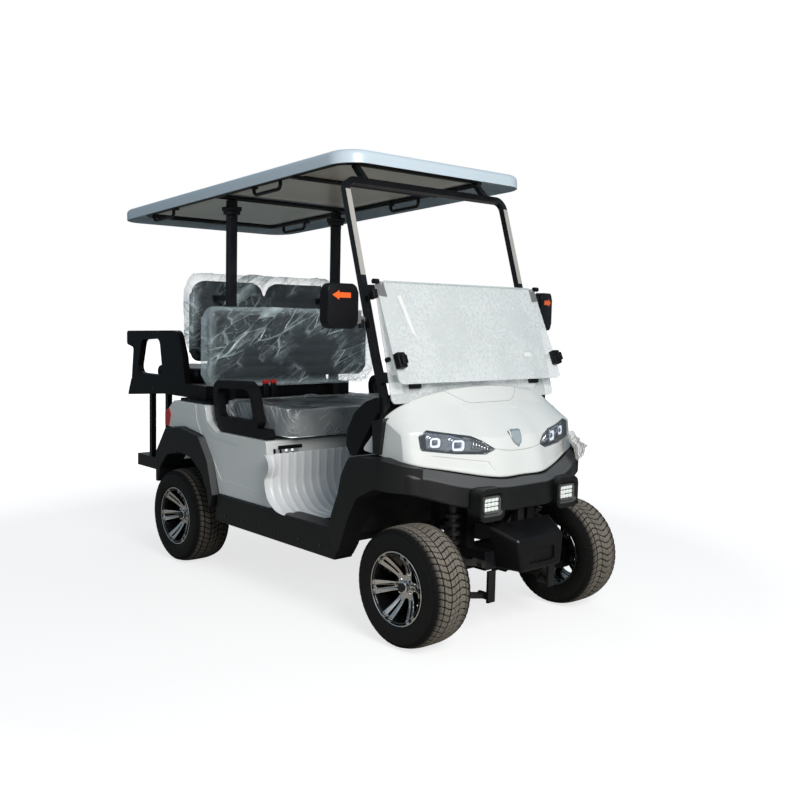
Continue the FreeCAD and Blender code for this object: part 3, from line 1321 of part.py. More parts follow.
doc.recompute()
for item in doc.Objects:
    if "Invalid" in item.State or "Error" in item.State:
        raise RuntimeError(f"{item.Name} failed to build: {item.State}")
for item in sub_parts:
    if item.Shape.isNull() or not item.Shape.isValid() or not item.Shape.Solids:
        raise RuntimeError(f"{item.Label} has no valid solid")

os.makedirs("parts", exist_ok=True)
for item in sub_parts:
    item.Shape.exportStep(os.path.join("parts", item.Label + ".step"))
print(len(sub_parts), "sub-parts")
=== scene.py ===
# A lifted four-seat golf cart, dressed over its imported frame.
import json
import math

import bmesh
import bpy
from mathutils import Matrix, Vector, noise


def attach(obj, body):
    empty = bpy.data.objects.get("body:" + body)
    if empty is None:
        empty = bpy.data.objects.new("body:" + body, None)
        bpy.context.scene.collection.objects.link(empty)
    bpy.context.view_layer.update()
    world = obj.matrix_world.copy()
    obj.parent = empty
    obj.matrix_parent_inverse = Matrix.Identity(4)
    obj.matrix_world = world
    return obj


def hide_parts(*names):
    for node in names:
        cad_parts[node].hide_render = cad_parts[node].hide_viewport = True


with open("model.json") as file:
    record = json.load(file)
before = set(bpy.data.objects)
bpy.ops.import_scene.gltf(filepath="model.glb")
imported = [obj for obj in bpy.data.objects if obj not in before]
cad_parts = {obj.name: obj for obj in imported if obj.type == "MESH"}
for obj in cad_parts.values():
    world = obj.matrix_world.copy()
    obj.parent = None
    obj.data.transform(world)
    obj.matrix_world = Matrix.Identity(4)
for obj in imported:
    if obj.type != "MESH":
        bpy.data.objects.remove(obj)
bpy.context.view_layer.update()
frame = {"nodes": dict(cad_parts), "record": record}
nodes = frame["nodes"]
frontX, rearX, axleZ = 1.175, -0.605, 0.254        # where the two axles stand
upright = Vector((0, 0, 1))
print("frame loaded:", len(nodes), "nodes")


def addObject(name, data):
    item = bpy.data.objects.new(name, data)
    bpy.context.scene.collection.objects.link(item)
    return item


def evaluatedMesh(item):
    return bpy.data.meshes.new_from_object(item.evaluated_get(bpy.context.evaluated_depsgraph_get()))


# Node helpers: an input takes another node's output as a link, or a plain value
def feed(socket, value):
    if isinstance(value, bpy.types.NodeSocket):
        socket.id_data.links.new(value, socket)
    else:
        socket.default_value = value


def setInputs(node, inputs):
    for label, value in dict(inputs).items():
        feed(node.inputs[label], value)


def addNode(tree, kind, inputs=(), **settings):
    # the settings come first, since they decide which inputs there are
    node = tree.nodes.new(kind)
    for label, value in settings.items():
        setattr(node, label, value)
    setInputs(node, inputs)
    return node


def calc(tree, operation, *values, clamp=False):
    return addNode(tree, "ShaderNodeMath", enumerate(values), operation=operation, use_clamp=clamp).outputs[0]


def ramp(tree, value, start=(0.0, 1.0), end=(0.0, 1.0), shape="LINEAR"):
    # stretches the range start to the range end
    inputs = {"Value": value, "From Min": start[0], "From Max": start[1], "To Min": end[0], "To Max": end[1]}
    return addNode(tree, "ShaderNodeMapRange", inputs, interpolation_type=shape).outputs[0]


def objectPlace(tree):
    return addNode(tree, "ShaderNodeTexCoord").outputs["Object"]


def noiseAt(tree, place, scale, detail=2.0):
    return addNode(tree, "ShaderNodeTexNoise", {"Vector": place, "Scale": scale, "Detail": detail})


def newTree(kind, name, inputs, outputs):
    # a node group, with the sockets that its inside reads from and writes to
    tree = bpy.data.node_groups.new(name, kind)
    for label, socketKind, *value in inputs:
        socket = tree.interface.new_socket(label, in_out="INPUT", socket_type="NodeSocket" + socketKind)
        if value:
            socket.default_value = value[0]
    for label, socketKind in outputs:
        tree.interface.new_socket(label, in_out="OUTPUT", socket_type="NodeSocket" + socketKind)
    return tree, tree.nodes.new("NodeGroupInput").outputs, tree.nodes.new("NodeGroupOutput").inputs


def emptyTree(owner):
    owner.use_nodes = True
    owner.node_tree.nodes.clear()
    return owner.node_tree


# The photograph's own view, fitted to the cart's known points
cameraView = {"place": (3.9876, -3.15518, 1.37832), "yaw": 2.40728, "pitch": -0.08634, "roll": 0.0217,
              "focalPixels": 943.60, "framePixels": 793, "sensor": 36, "farthest": 100}


def aimCamera(view):
    yaw, pitch, roll = view["yaw"], view["pitch"], view["roll"]
    ahead = Vector((math.cos(yaw) * math.cos(pitch), math.sin(yaw) * math.cos(pitch), math.sin(pitch)))
    right = ahead.cross(upright).normalized()
    above = right.cross(ahead)
    tiltRight = right * math.cos(roll) + above * math.sin(roll)
    tiltAbove = above * math.cos(roll) - right * math.sin(roll)
    data = bpy.data.cameras.new("photoCamera")
    data.sensor_width = view["sensor"]
    data.lens = view["sensor"] * view["focalPixels"] / view["framePixels"]
    data.clip_end = view["farthest"]
    camera = addObject("photoCamera", data)
    turn = Matrix((tiltRight, tiltAbove, -ahead)).transposed()
    camera.matrix_world = Matrix.Translation(view["place"]) @ turn.to_4x4()
    bpy.context.scene.camera = camera


# Studio: a pale floor, white beyond it, soft lamps
studio = {"world": 0.29, "sky": (0.66, 0.85, 1.0), "bounce": (0.47, 0.44, 0.39), "floorTint": (0.34, 0.34, 0.34),
          "floorHalf": 30, "glowReach": (2.2, 4.2), "floorGlow": (0.74, 1.1)}
# each lamp's place, target, power, size and tint
lamps = {"keyLamp": ((5.2, -1.6, 3.4), (0.2, 0, 0.8), 255, 2.6, (1, 0.97, 0.93)),
         "fillLamp": ((1.0, -5.5, 2.6), (0, 0, 0.8), 14, 3.5, (0.93, 0.96, 1)),
         "rimLamp": ((-4.0, 3.0, 4.0), (0, 0, 1.0), 45, 3.5, (1, 1, 1))}


def addLamp(name, place, target, power, size, tint):
    data = bpy.data.lights.new(name, "AREA")
    data.energy, data.size, data.color = power, size, tint
    lamp = addObject(name, data)
    lamp.location = place
    lamp.rotation_euler = (Vector(target) - Vector(place)).to_track_quat("-Z", "Y").to_euler()


def buildWorld():
    # the sky lights the cart, and the camera sees white
    world = bpy.data.worlds.new("studioWorld")
    bpy.context.scene.world = world
    tree = emptyTree(world)
    light = addNode(tree, "ShaderNodeBackground", {"Color": (*studio["sky"], 1), "Strength": studio["world"]})
    white = addNode(tree, "ShaderNodeBackground", {"Color": (1, 1, 1, 1)})
    path = addNode(tree, "ShaderNodeLightPath").outputs
    seen = calc(tree, "MAXIMUM", path["Is Camera Ray"], path["Is Transmission Ray"])
    mix = addNode(tree, "ShaderNodeMixShader", {"Fac": seen, 1: light.outputs[0], 2: white.outputs[0]})
    addNode(tree, "ShaderNodeOutputWorld", {"Surface": mix.outputs[0]})


def buildFloor():
    # it bounces warm light, and glows to white away from the cart where the camera sees it
    half = studio["floorHalf"]
    mesh = bpy.data.meshes.new("studioFloor")
    mesh.from_pydata([(-half, -half, 0), (half, -half, 0), (half, half, 0), (-half, half, 0)], [], [(0, 1, 2, 3)])
    paint = bpy.data.materials.new("paleFloor")
    tree = emptyTree(paint)
    plain = addNode(tree, "ShaderNodeBsdfDiffuse", {"Color": (*studio["bounce"], 1)})
    lit = addNode(tree, "ShaderNodeBsdfDiffuse", {"Color": (*studio["floorTint"], 1)})
    away = addNode(tree, "ShaderNodeVectorMath", {0: objectPlace(tree)}, operation="LENGTH").outputs["Value"]
    strength = ramp(tree, away, studio["glowReach"], studio["floorGlow"])
    glow = addNode(tree, "ShaderNodeEmission", {"Strength": strength})
    both = addNode(tree, "ShaderNodeAddShader", {0: glow.outputs[0], 1: lit.outputs[0]})
    seen = addNode(tree, "ShaderNodeLightPath").outputs["Is Camera Ray"]
    mix = addNode(tree, "ShaderNodeMixShader", {0: seen, 1: plain.outputs[0], 2: both.outputs[0]})
    addNode(tree, "ShaderNodeOutputMaterial", {"Surface": mix.outputs[0]})
    mesh.materials.append(paint)
    addObject("studioFloor", mesh)


aimCamera(cameraView)
bpy.context.scene.view_settings.view_transform = "Standard"
buildWorld()
buildFloor()
for lampName, values in lamps.items():
    addLamp(lampName, *values)
print("camera and studio placed")


# Shader groups that the finishes share
def buildGrainGroup():
    # two sizes of noise mixed into one height
    tree, given, result = newTree("ShaderNodeTree", "mouldedGrain",
                                  (("Scale", "Float", 400.0), ("Coarse", "Float", 0.3)), (("Height", "Float"),))
    place = objectPlace(tree)
    fine = noiseAt(tree, place, given["Scale"])
    broad = noiseAt(tree, place, calc(tree, "MULTIPLY", given["Scale"], 0.08))
    heights = {"Factor": given["Coarse"], "A": fine.outputs["Fac"], "B": broad.outputs["Fac"]}
    mix = addNode(tree, "ShaderNodeMix", heights)
    feed(result["Height"], mix.outputs["Result"])
    return tree


def buildDustGroup():
    # pale dust in patches, thicker on what faces up
    tree, given, result = newTree("ShaderNodeTree", "settledDust",
                                  (("Base", "Color", (0.5, 0.5, 0.5, 1)), ("Dust", "Color", (0.42, 0.38, 0.33, 1)),
                                   ("Amount", "Float", 0.1), ("Scale", "Float", 9.0)), (("Color", "Color"),))
    cloud = noiseAt(tree, objectPlace(tree), given["Scale"], 8.0)
    patches = ramp(tree, cloud.outputs["Fac"], (0.42, 0.75))
    normal = addNode(tree, "ShaderNodeNewGeometry").outputs["Normal"]
    height = addNode(tree, "ShaderNodeSeparateXYZ", {0: normal}).outputs["Z"]
    settled = calc(tree, "MULTIPLY", patches, ramp(tree, height, (-0.2, 1.0), (0.35, 1.0)))
    share = calc(tree, "MULTIPLY", settled, given["Amount"])
    mix = addNode(tree, "ShaderNodeMix", {"Factor": share}, data_type="RGBA")
    setInputs(mix, {6: given["Base"], 7: given["Dust"]})
    feed(result["Color"], mix.outputs[2])
    return tree


grainGroup, dustGroup = buildGrainGroup(), buildDustGroup()
finishes = {}
finishLook = {"roughSpread": 0.08, "coatRough": 0.06, "bump": 0.6}


def shaderOf(material):
    return material.node_tree.nodes["Principled BSDF"]


def makeFinish(name, color, rough, grain, metal=0.0, coat=0.0, dust=0.0, specular=0.5, dustColor=(0.42, 0.38, 0.33)):
    # tinted dust, varied roughness and a fine relief
    material = bpy.data.materials.new(name)
    material.use_nodes = True
    tree = material.node_tree
    scale, coarse, depth = grain
    dusty = {"Base": (*color, 1), "Dust": (*dustColor, 1), "Amount": dust}
    settled = addNode(tree, "ShaderNodeGroup", dusty, node_tree=dustGroup)
    grained = addNode(tree, "ShaderNodeGroup", {"Scale": scale, "Coarse": coarse}, node_tree=grainGroup)
    relief = grained.outputs["Height"]
    spread = (max(rough - finishLook["roughSpread"], 0.02), min(rough + finishLook["roughSpread"], 1.0))
    setInputs(shaderOf(material), {
        "Base Color": settled.outputs["Color"], "Metallic": metal, "Coat Weight": coat,
        "Coat Roughness": finishLook["coatRough"], "Specular IOR Level": specular,
        "Roughness": ramp(tree, relief, end=spread)})
    if depth > 0:
        bump = addNode(tree, "ShaderNodeBump", {"Strength": finishLook["bump"], "Distance": depth, "Height": relief})
        setInputs(shaderOf(material), {"Normal": bump.outputs["Normal"]})
    return material


def addFinishes(rows):
    # each row: name, colour, roughness, grain (scale, coarse share, depth in metres) and what else it has
    for key, (name, color, rough, grain, *more) in rows.items():
        finishes[key] = makeFinish(name, color, rough, grain, **(more[0] if more else {}))


def makeSee(key, alpha):
    setInputs(shaderOf(finishes[key]), {"Alpha": alpha})
    finishes[key].surface_render_method = "BLENDED"


def makeGlow(key, color, strength):
    setInputs(shaderOf(finishes[key]), {"Emission Color": (*color, 1), "Emission Strength": strength})


def mixBase(key, share, tint):
    # a second colour over the finish's own, by share
    base = shaderOf(finishes[key]).inputs["Base Color"]
    mix = addNode(base.id_data, "ShaderNodeMix", {"Factor": share}, data_type="RGBA")
    setInputs(mix, {6: base.links[0].from_socket, 7: (*tint, 1)})
    feed(base, mix.outputs[2])


addFinishes({
    "body_white": ("bodyWhite", (0.78, 0.80, 0.79), 0.22, (900, 0.2, 0.00002), {"coat": 0.7, "dust": 0.05}),
    # the roof's white moulding, its base colour tinted blue and greyer as painted sky light
    "roof_white": ("roofWhite", (0.59, 0.69, 0.77), 0.32, (700, 0.3, 0.00005), {"coat": 0.2, "dust": 0.05}),
    "flare_black": ("flareBlack", (0.003, 0.0035, 0.004), 0.46, (1300, 0.15, 0.0003),
                    {"dust": 0.012, "specular": 0.42}),
    "black_trim": ("blackTrim", (0.004, 0.004, 0.005), 0.45, (1500, 0.2, 0.0002), {"dust": 0.015, "specular": 0.22}),
    "frame_paint": ("framePaint", (0.006, 0.006, 0.008), 0.36, (900, 0.2, 0.00008), {"dust": 0.06, "specular": 0.3}),
    "tube_black": ("tubeBlack", (0.006, 0.006, 0.007), 0.26, (1100, 0.2, 0.00006),
                   {"coat": 0.15, "dust": 0.02, "specular": 0.35}),
    "kit_frame": ("kitFrame", (0.006, 0.006, 0.007), 0.34, (900, 0.2, 0.00008), {"dust": 0.03, "specular": 0.35}),
    "kit_plastic": ("kitPlastic", (0.003, 0.003, 0.004), 0.44, (1200, 0.2, 0.0002), {"dust": 0.01, "specular": 0.2}),
    "floor_black": ("floorBlack", (0.012, 0.012, 0.014), 0.6, (500, 0.3, 0.0004), {"dust": 0.15, "specular": 0.3}),
    "suspension_black": ("suspensionBlack", (0.008, 0.008, 0.009), 0.42, (500, 0.3, 0.0002),
                         {"dust": 0.16, "specular": 0.3}),
    "spring_steel": ("springSteel", (0.014, 0.014, 0.016), 0.38, (500, 0.3, 0.0001), {"metal": 0.3, "dust": 0.15}),
    "axle_grey": ("axleGrey", (0.04, 0.04, 0.042), 0.55, (300, 0.3, 0.0005), {"metal": 0.4, "dust": 0.25}),
    "motor_case": ("motorCase", (0.07, 0.07, 0.075), 0.5, (300, 0.3, 0.0004), {"metal": 0.5, "dust": 0.25}),
    "battery_case": ("batteryCase", (0.02, 0.02, 0.023), 0.5, (600, 0.2, 0.0002), {"dust": 0.12}),
    "seat_vinyl": ("seatVinyl", (0.012, 0.015, 0.020), 0.40, (700, 0.15, 0.0003), {"dust": 0.02, "specular": 0.35}),
    "pedal_rubber": ("pedalRubber", (0.010, 0.010, 0.011), 0.65, (900, 0.2, 0.0003), {"dust": 0.15, "specular": 0.3}),
    "wheel_grip": ("wheelGrip", (0.009, 0.009, 0.010), 0.5, (1400, 0.2, 0.0003), {"specular": 0.3}),
    "tyre": ("tyreRubber", (0.0045, 0.0045, 0.0045), 0.62, (600, 0.3, 0.0003),
             {"dust": 0.10, "dustColor": (0.10, 0.085, 0.07), "specular": 0.25}),
    "tread_top": ("treadTop", (0.20, 0.178, 0.152), 0.8, (260, 0.5, 0.0004),
                  {"dust": 0.5, "dustColor": (0.34, 0.30, 0.25), "specular": 0.2}),
    "rim_metal": ("rimBlack", (0.006, 0.006, 0.007), 0.14, (900, 0.2, 0.0), {"coat": 0.6}),
    "machined": ("machinedFace", (0.74, 0.71, 0.68), 0.24, (900, 0.2, 0.00002), {"metal": 1.0}),
    "chrome": ("chromePlate", (0.80, 0.80, 0.82), 0.08, (900, 0.2, 0.0), {"metal": 1.0}),
    "lamp_white": ("lampReflector", (0.62, 0.66, 0.70), 0.12, (300, 0.3, 0.0), {"metal": 0.7, "coat": 1.0}),
    "lamp_red": ("lampRed", (0.55, 0.008, 0.010), 0.12, (300, 0.3, 0.0), {"coat": 1.0}),
    "screen_film": ("screenFilm", (0.79, 0.83, 0.84), 0.22, (90, 0.6, 0.0006)),
})
# painted highlight on the flares: the facing it follows, its range and its lighter tint
flareHighlightLook = {"way": (0.80, 0.0, 0.60), "range": (0.84, 0.99), "tint": (0.085, 0.088, 0.09)}
# black of the grooves, also laid over the rear treads as painted shade
grooveAndShadeLook = {"range": (-0.35, 0.45), "tint": (0.0035, 0.0035, 0.0035)}
mottleLook = {"scales": (5.0, 70.0), "range": (0.18, 0.36), "alpha": (0.56, 0.80)}


def paintFlareHighlight():
    # painted highlight: the flares' faces that turn forward and up get a lighter base colour
    tree = finishes["flare_black"].node_tree
    normal = addNode(tree, "ShaderNodeNewGeometry").outputs["Normal"]
    facing = addNode(tree, "ShaderNodeVectorMath", {0: normal, 1: Vector(flareHighlightLook["way"]).normalized()},
                     operation="DOT_PRODUCT").outputs["Value"]
    mixBase("flare_black", ramp(tree, facing, flareHighlightLook["range"], shape="SMOOTHSTEP"), flareHighlightLook["tint"])


def darkenGroovesAndRearShade():
    # black in the grooves, from each point's distance to the nearest groove edge in millimetres; the same measure
    # darkens the rear treads as painted shade
    tree = finishes["tread_top"].node_tree
    edge = addNode(tree, "ShaderNodeAttribute", attribute_name="grooveEdge").outputs["Fac"]
    mixBase("tread_top", ramp(tree, edge, grooveAndShadeLook["range"], (1.0, 0.0)), grooveAndShadeLook["tint"])


def mottleScreen():
    # the guard film on the panes is cloudy in patches
    tree = finishes["screen_film"].node_tree
    place = objectPlace(tree)
    clouds = [noiseAt(tree, place, scale).outputs["Fac"] for scale in mottleLook["scales"]]
    makeSee("screen_film", ramp(tree, calc(tree, "MULTIPLY", *clouds), mottleLook["range"], mottleLook["alpha"]))


paintFlareHighlight()
darkenGroovesAndRearShade()
mottleScreen()
for part in frame["record"]["subparts"]:
    mesh = nodes[part["node"]].data
    mesh.materials.clear()
    mesh.materials.append(finishes[part["material_slot"]])
print("finishes made:", len(finishes))


# Mesh helpers
def dressPiece(name, mesh, kinds, body, replacing=(), slot=None, sharp=35):
    # one piece from a mesh, with its finishes by key, on the body it rides
    for kind in kinds:
        mesh.materials.append(finishes[kind])
    piece = addObject(name, mesh)
    mesh.validate()
    mesh.shade_smooth()
    mesh.set_sharp_from_angle(angle=math.radians(sharp))
    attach(piece, body)
    if replacing:
        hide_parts(*replacing)
    return piece


def fromFaces(name, verts, faces, kinds, body, faceSlots=None, **rest):
    mesh = bpy.data.meshes.new(name)
    mesh.from_pydata([tuple(v) for v in verts], [], faces)
    if faceSlots:
        mesh.polygons.foreach_set("material_index", faceSlots)
    return dressPiece(name, mesh, kinds, body, **rest)


def meshOf(name, bm):
    bmesh.ops.recalc_face_normals(bm, faces=bm.faces)
    mesh = bpy.data.meshes.new(name)
    bm.to_mesh(mesh)
    bm.free()
    return mesh


def fromBmesh(name, bm, kinds, body, **rest):
    return dressPiece(name, meshOf(name, bm), kinds, body, **rest)


def facesOf(verts):
    return {f for v in verts for f in v.link_faces}


def addBox(bm, low, high, bevel, segments=2, material=0, turn=None):
    # a box between two corners with rounded edges, optionally turned by a matrix
    size = [b - a for a, b in zip(low, high)]
    verts = bmesh.ops.create_cube(bm, size=1)["verts"]
    bmesh.ops.scale(bm, vec=size, verts=verts)
    bmesh.ops.translate(bm, vec=[(a + b) / 2 for a, b in zip(low, high)], verts=verts)
    faces = list(facesOf(verts))
    edges = list({e for f in faces for e in f.edges})
    offset = min(bevel, min(size) * 0.45)
    done = bmesh.ops.bevel(bm, geom=edges, offset=offset, segments=segments, affect="EDGES", profile=0.5)
    faces = list(facesOf(done["verts"]) | {f for f in faces if f.is_valid})
    for f in faces:
        f.material_index = material
    if turn is not None:
        bmesh.ops.transform(bm, matrix=turn, verts=list({v for f in faces for v in f.verts}))


def addRod(bm, start, end, radius, sides=16, material=0, endRadius=None):
    start, end = Vector(start), Vector(end)
    run = end - start
    made = bmesh.ops.create_cone(bm, cap_ends=True, segments=sides, radius1=radius,
                                 radius2=radius if endRadius is None else endRadius, depth=run.length)
    turn = Matrix.Translation((start + end) / 2) @ run.to_track_quat("Z", "Y").to_matrix().to_4x4()
    bmesh.ops.transform(bm, matrix=turn, verts=made["verts"])
    for f in facesOf(made["verts"]):
        f.material_index = material


def addFace(bm, points, material=0):
    bm.faces.new([bm.verts.new(p) for p in points]).material_index = material


def bridgeRings(bm, first, second, material=0):
    # a wall of quads between two closed rings of points
    count = len(first)
    for k in range(count):
        after = (k + 1) % count
        bm.faces.new((first[k], first[after], second[after], second[k])).material_index = material


def gridFaces(rows, columns, base=0):
    # quads over a grid of points that was filled row by row
    for i in range(rows):
        for j in range(columns):
            a = base + i * (columns + 1) + j
            yield a, a + 1, a + columns + 2, a + columns + 1


def addMeasure(mesh, name, values):
    # one number on each point, which a finish reads
    mesh.attributes.new(name, "FLOAT", "POINT").data.foreach_set("value", values)


def circle(count, start=0.0):
    return [math.tau * (k + start) / count for k in range(count)]


def onSurface(node, point, lift=0.0):
    # the nearest place on a CAD node, moved out by lift, and the way the surface faces there
    place, normal = nodes[node].closest_point_on_mesh(Vector(point))[1:3]
    return place + normal * lift, normal


def smoothPath(points, perRun):
    # points along a Catmull-Rom curve through the given ones
    points = [Vector(p) for p in points]
    points = [points[0] * 2 - points[1], *points, points[-1] * 2 - points[-2]]
    out = []
    for p0, p1, p2, p3 in zip(points, points[1:], points[2:], points[3:]):
        for k in range(perRun):
            t = k / perRun
            out.append(0.5 * ((2 * p1) + (p2 - p0) * t + (2 * p0 - 5 * p1 + 4 * p2 - p3) * t * t
                              + (3 * p1 - p0 - 3 * p2 + p3) * t ** 3))
    return [*out, points[-2]]


# Node trees: one sets a fastener on each point, one sweeps a bar along a line
def growTree(name, inputs):
    given = (("Geometry", "Geometry"), *inputs, ("Material", "Material"))
    return newTree("GeometryNodeTree", name, given, (("Geometry", "Geometry"),))


def closeTree(tree, grown, given, result):
    real = addNode(tree, "GeometryNodeRealizeInstances", {0: grown}).outputs[0]
    cover = addNode(tree, "GeometryNodeSetMaterial", {"Geometry": real, "Material": given["Material"]})
    feed(result["Geometry"], cover.outputs[0])
    return tree


def buildFastenerTree():
    # a flanged, domed head on every point, standing along the point's own facing
    tree, given, result = growTree("fastenersOnPoints", (("Radius", "Float", 0.006), ("Height", "Float", 0.004),
                                                         ("Sides", "Int", 6), ("Flange", "Float", 1.4)))
    radius, height = given["Radius"], given["Height"]
    pairs = ((radius, given["Flange"]), (radius, 0.72), (height, 0.4))
    wide, top, low = (calc(tree, "MULTIPLY", *pair) for pair in pairs)
    head = addNode(tree, "GeometryNodeMeshCone", {
        "Vertices": given["Sides"], "Radius Bottom": radius, "Radius Top": top, "Depth": height})
    flange = addNode(tree, "GeometryNodeMeshCone", {
        "Vertices": 16, "Radius Bottom": wide, "Radius Top": radius, "Depth": low})
    join = addNode(tree, "GeometryNodeJoinGeometry", {0: head.outputs["Mesh"]})
    feed(join.inputs[0], flange.outputs["Mesh"])
    facing = addNode(tree, "GeometryNodeInputNamedAttribute", {"Name": "facing"}, data_type="FLOAT_VECTOR")
    turn = addNode(tree, "FunctionNodeAlignRotationToVector", {"Vector": facing.outputs["Attribute"]}, axis="Z")
    put = addNode(tree, "GeometryNodeInstanceOnPoints", {
        "Points": given["Geometry"], "Instance": join.outputs[0], "Rotation": turn.outputs[0]})
    return closeTree(tree, put.outputs[0], given, result)


def buildBarTree():
    # a round bar with closed ends along every line of the mesh
    tree, given, result = growTree("barAlongLines", (("Radius", "Float", 0.005), ("Sides", "Int", 12)))
    line = addNode(tree, "GeometryNodeMeshToCurve", {"Mesh": given["Geometry"]})
    section = addNode(tree, "GeometryNodeCurvePrimitiveCircle", {
        "Radius": given["Radius"], "Resolution": given["Sides"]})
    sweep = addNode(tree, "GeometryNodeCurveToMesh", {
        "Curve": line.outputs[0], "Profile Curve": section.outputs[0], "Fill Caps": True})
    soft = addNode(tree, "GeometryNodeSetShadeSmooth", {0: sweep.outputs[0]})
    return closeTree(tree, soft.outputs[0], given, result)


fastenerTree, barTree = buildFastenerTree(), buildBarTree()


def grow(name, tree, body, verts, edges, kind, values, facing=None):
    # runs a tree once on a bare mesh and keeps the result as a plain piece
    seed = bpy.data.meshes.new(name + "Seed")
    seed.from_pydata([tuple(v) for v in verts], edges, [])
    if facing:
        ways = [c for v in facing for c in v]
        seed.attributes.new("facing", "FLOAT_VECTOR", "POINT").data.foreach_set("vector", ways)
    holder = addObject(name + "Seed", seed)
    grower = holder.modifiers.new(name, "NODES")
    grower.node_group = tree
    values = {**values, "Material": finishes[kind]}
    for item in tree.interface.items_tree:
        if item.in_out == "INPUT" and item.name in values:
            grower[item.identifier] = values[item.name]
    mesh = evaluatedMesh(holder)
    bpy.data.objects.remove(holder)
    dressPiece(name, mesh, (), body, sharp=40)


# Tyres: road tread cut into a lathe-turned carcass
tyreLook = {"radius": 0.254, "pitches": 54, "stepsPerPitch": 8, "grooveDepth": 0.0062,
            "ribGrooves": (-0.060, -0.023, 0.023, 0.060), "ribHalf": 0.0018, "lateralHalf": 0.0017, "wave": 0.34,
            "sipes": (-0.0415, 0.0, 0.0415), "sipeHalf": 0.0003, "sipeShare": (0.22, 0.78), "soft": 1.3,
            # pale worn share of the front treads, and a lower share on the rear treads as painted shade
            "wearAndShade": (0.86, 0.36), "crownHalf": 0.0895, "crownSteps": 64, "shoulder": (0.058, 0.030),
            "side": ((0.094, 0.147), (0.0955, 0.157), (0.0985, 0.163), (0.1035, 0.172), (0.1065, 0.186), (0.107, 0.200),
                     (0.1062, 0.214), (0.1035, 0.226), (0.099, 0.236), (0.0935, 0.2425))}


def tyreProfile():
    # outer section from the inner bead over the crown to the outer bead, as (across, radius, tread share)
    look = tyreLook
    half, steps = look["crownHalf"], look["crownSteps"]
    left = [(-a, r, 0.0) for a, r in look["side"][:-2]] + [(-a, r, 0.6) for a, r in look["side"][-2:]]
    middle = []
    for i in range(1, steps):
        across = -half + 2 * half * i / steps
        drop = 0.0095 * (abs(across) / half) ** 4 + 0.0015 * (across / half) ** 2
        middle.append((across, look["radius"] - drop, 1.0))
    return left + middle + [(-a, r, t) for a, r, t in reversed(left)]


def grooveEdge(across, turn):
    # how far a place is from the nearest groove's edge, in millimetres, below nothing inside the groove
    look = tyreLook
    near = min(abs(across - groove) for groove in look["ribGrooves"]) - look["ribHalf"]
    wave = look["wave"] * math.sin(math.pi * 1.55 * across / 0.092 + 0.5)
    phase = turn * look["pitches"] / math.tau + wave
    pitch = math.tau * look["radius"] / look["pitches"]
    near = min(near, abs(phase - round(phase)) * pitch * 0.85 - look["lateralHalf"])
    if look["sipeShare"][0] < phase - math.floor(phase) < look["sipeShare"][1]:
        near = min(near, min(abs(across - sipe) for sipe in look["sipes"]) - look["sipeHalf"])
    return near * 1000


def buildTyre(name, wheel, centre, side):
    look = tyreLook
    wearAndShade = look["wearAndShade"][0 if centre[0] > 0 else 1]
    shoulder, fade = look["shoulder"]
    profile = tyreProfile()
    count, width = look["pitches"] * look["stepsPerPitch"], len(profile)
    verts, faces, edges, kinds = [], [], [], []
    for turn in circle(count):
        for across, radius, share in profile:
            cut = grooveEdge(across, turn)
            # the shoulders stay blacker than the crown, and the rear treads are darkened as painted shade
            edge = min(cut, 0.45 - 0.8 * max(0.0, abs(across) - shoulder) / fade, 0.45 - 0.8 * (1 - wearAndShade))
            r = radius - look["grooveDepth"] * share * min(1.0, max(0.0, 0.5 - cut / look["soft"]))
            verts.append((centre[0] + r * math.cos(turn), centre[1] + side * across, centre[2] + r * math.sin(turn)))
            edges.append(edge if abs(across) < 0.1 else -1.0)
    for k in range(count):
        for i in range(width - 1):
            a, b = k * width + i, k * width + i + 1
            c, e = ((k + 1) % count) * width + i + 1, ((k + 1) % count) * width + i
            faces.append((a, b, c, e) if side < 0 else (a, e, c, b))
            kinds.append(1 if profile[i][2] + profile[i + 1][2] > 0.5 else 0)
    piece = fromFaces(name, verts, faces, ("tyre", "tread_top"), wheel, kinds,
                      replacing=("tyre_" + wheel[6:],), slot="tyre", sharp=32)
    addMeasure(piece.data, "grooveEdge", edges)


# Rims: black alloy with machined spoke faces
rimLook = {"spokes": 6, "dish": 0.056, "faceAcross": 0.038, "start": 9, "plate": 0.1425, "sides": 96, "finest": 0.016,
           "window": ((0.046, -0.008), (0.062, -0.017), (0.134, -0.043), (0.139, -0.022), (0.1405, 0), (0.139, 0.022),
                      (0.134, 0.043), (0.062, 0.017), (0.046, 0.008)),
           "slot": ((0.062, -0.0045), (0.134, -0.0085), (0.134, 0.0085), (0.062, 0.0045)),
           "tab": ((0.135, -0.0095, 0.055), (0.1525, 0.0095, 0.0605)), "tabTurn": 0.135,
           # barrel and lip, as (across, radius, machined)
           "turned": ((0.100, 0.156, 1), (0.1015, 0.1535, 1), (0.100, 0.1505, 1), (0.096, 0.1485, 0),
                      (0.090, 0.1465, 0), (0.060, 0.1425, 0), (0.020, 0.139, 0), (-0.060, 0.141, 0), (-0.098, 0.148, 0), (-0.100, 0.156, 0),
                      (-0.098, 0.1575, 0), (-0.092, 0.1495, 0), (-0.060, 0.1455, 0), (0.0, 0.1435, 0),
                      (0.060, 0.1455, 0), (0.092, 0.1495, 0), (0.098, 0.1575, 0)),
           # hub, cap, cap's face and brake drum: from, to, radius, sides, finish, end radius
           "rods": ((-0.055, 0.004, 0.048, 48, 0, 0.048), (0.004, 0.020, 0.027, 40, 2, 0.024),
                    (0.020, 0.024, 0.024, 40, 2, 0.016), (-0.085, -0.045, 0.085, 40, 0, 0.085))}


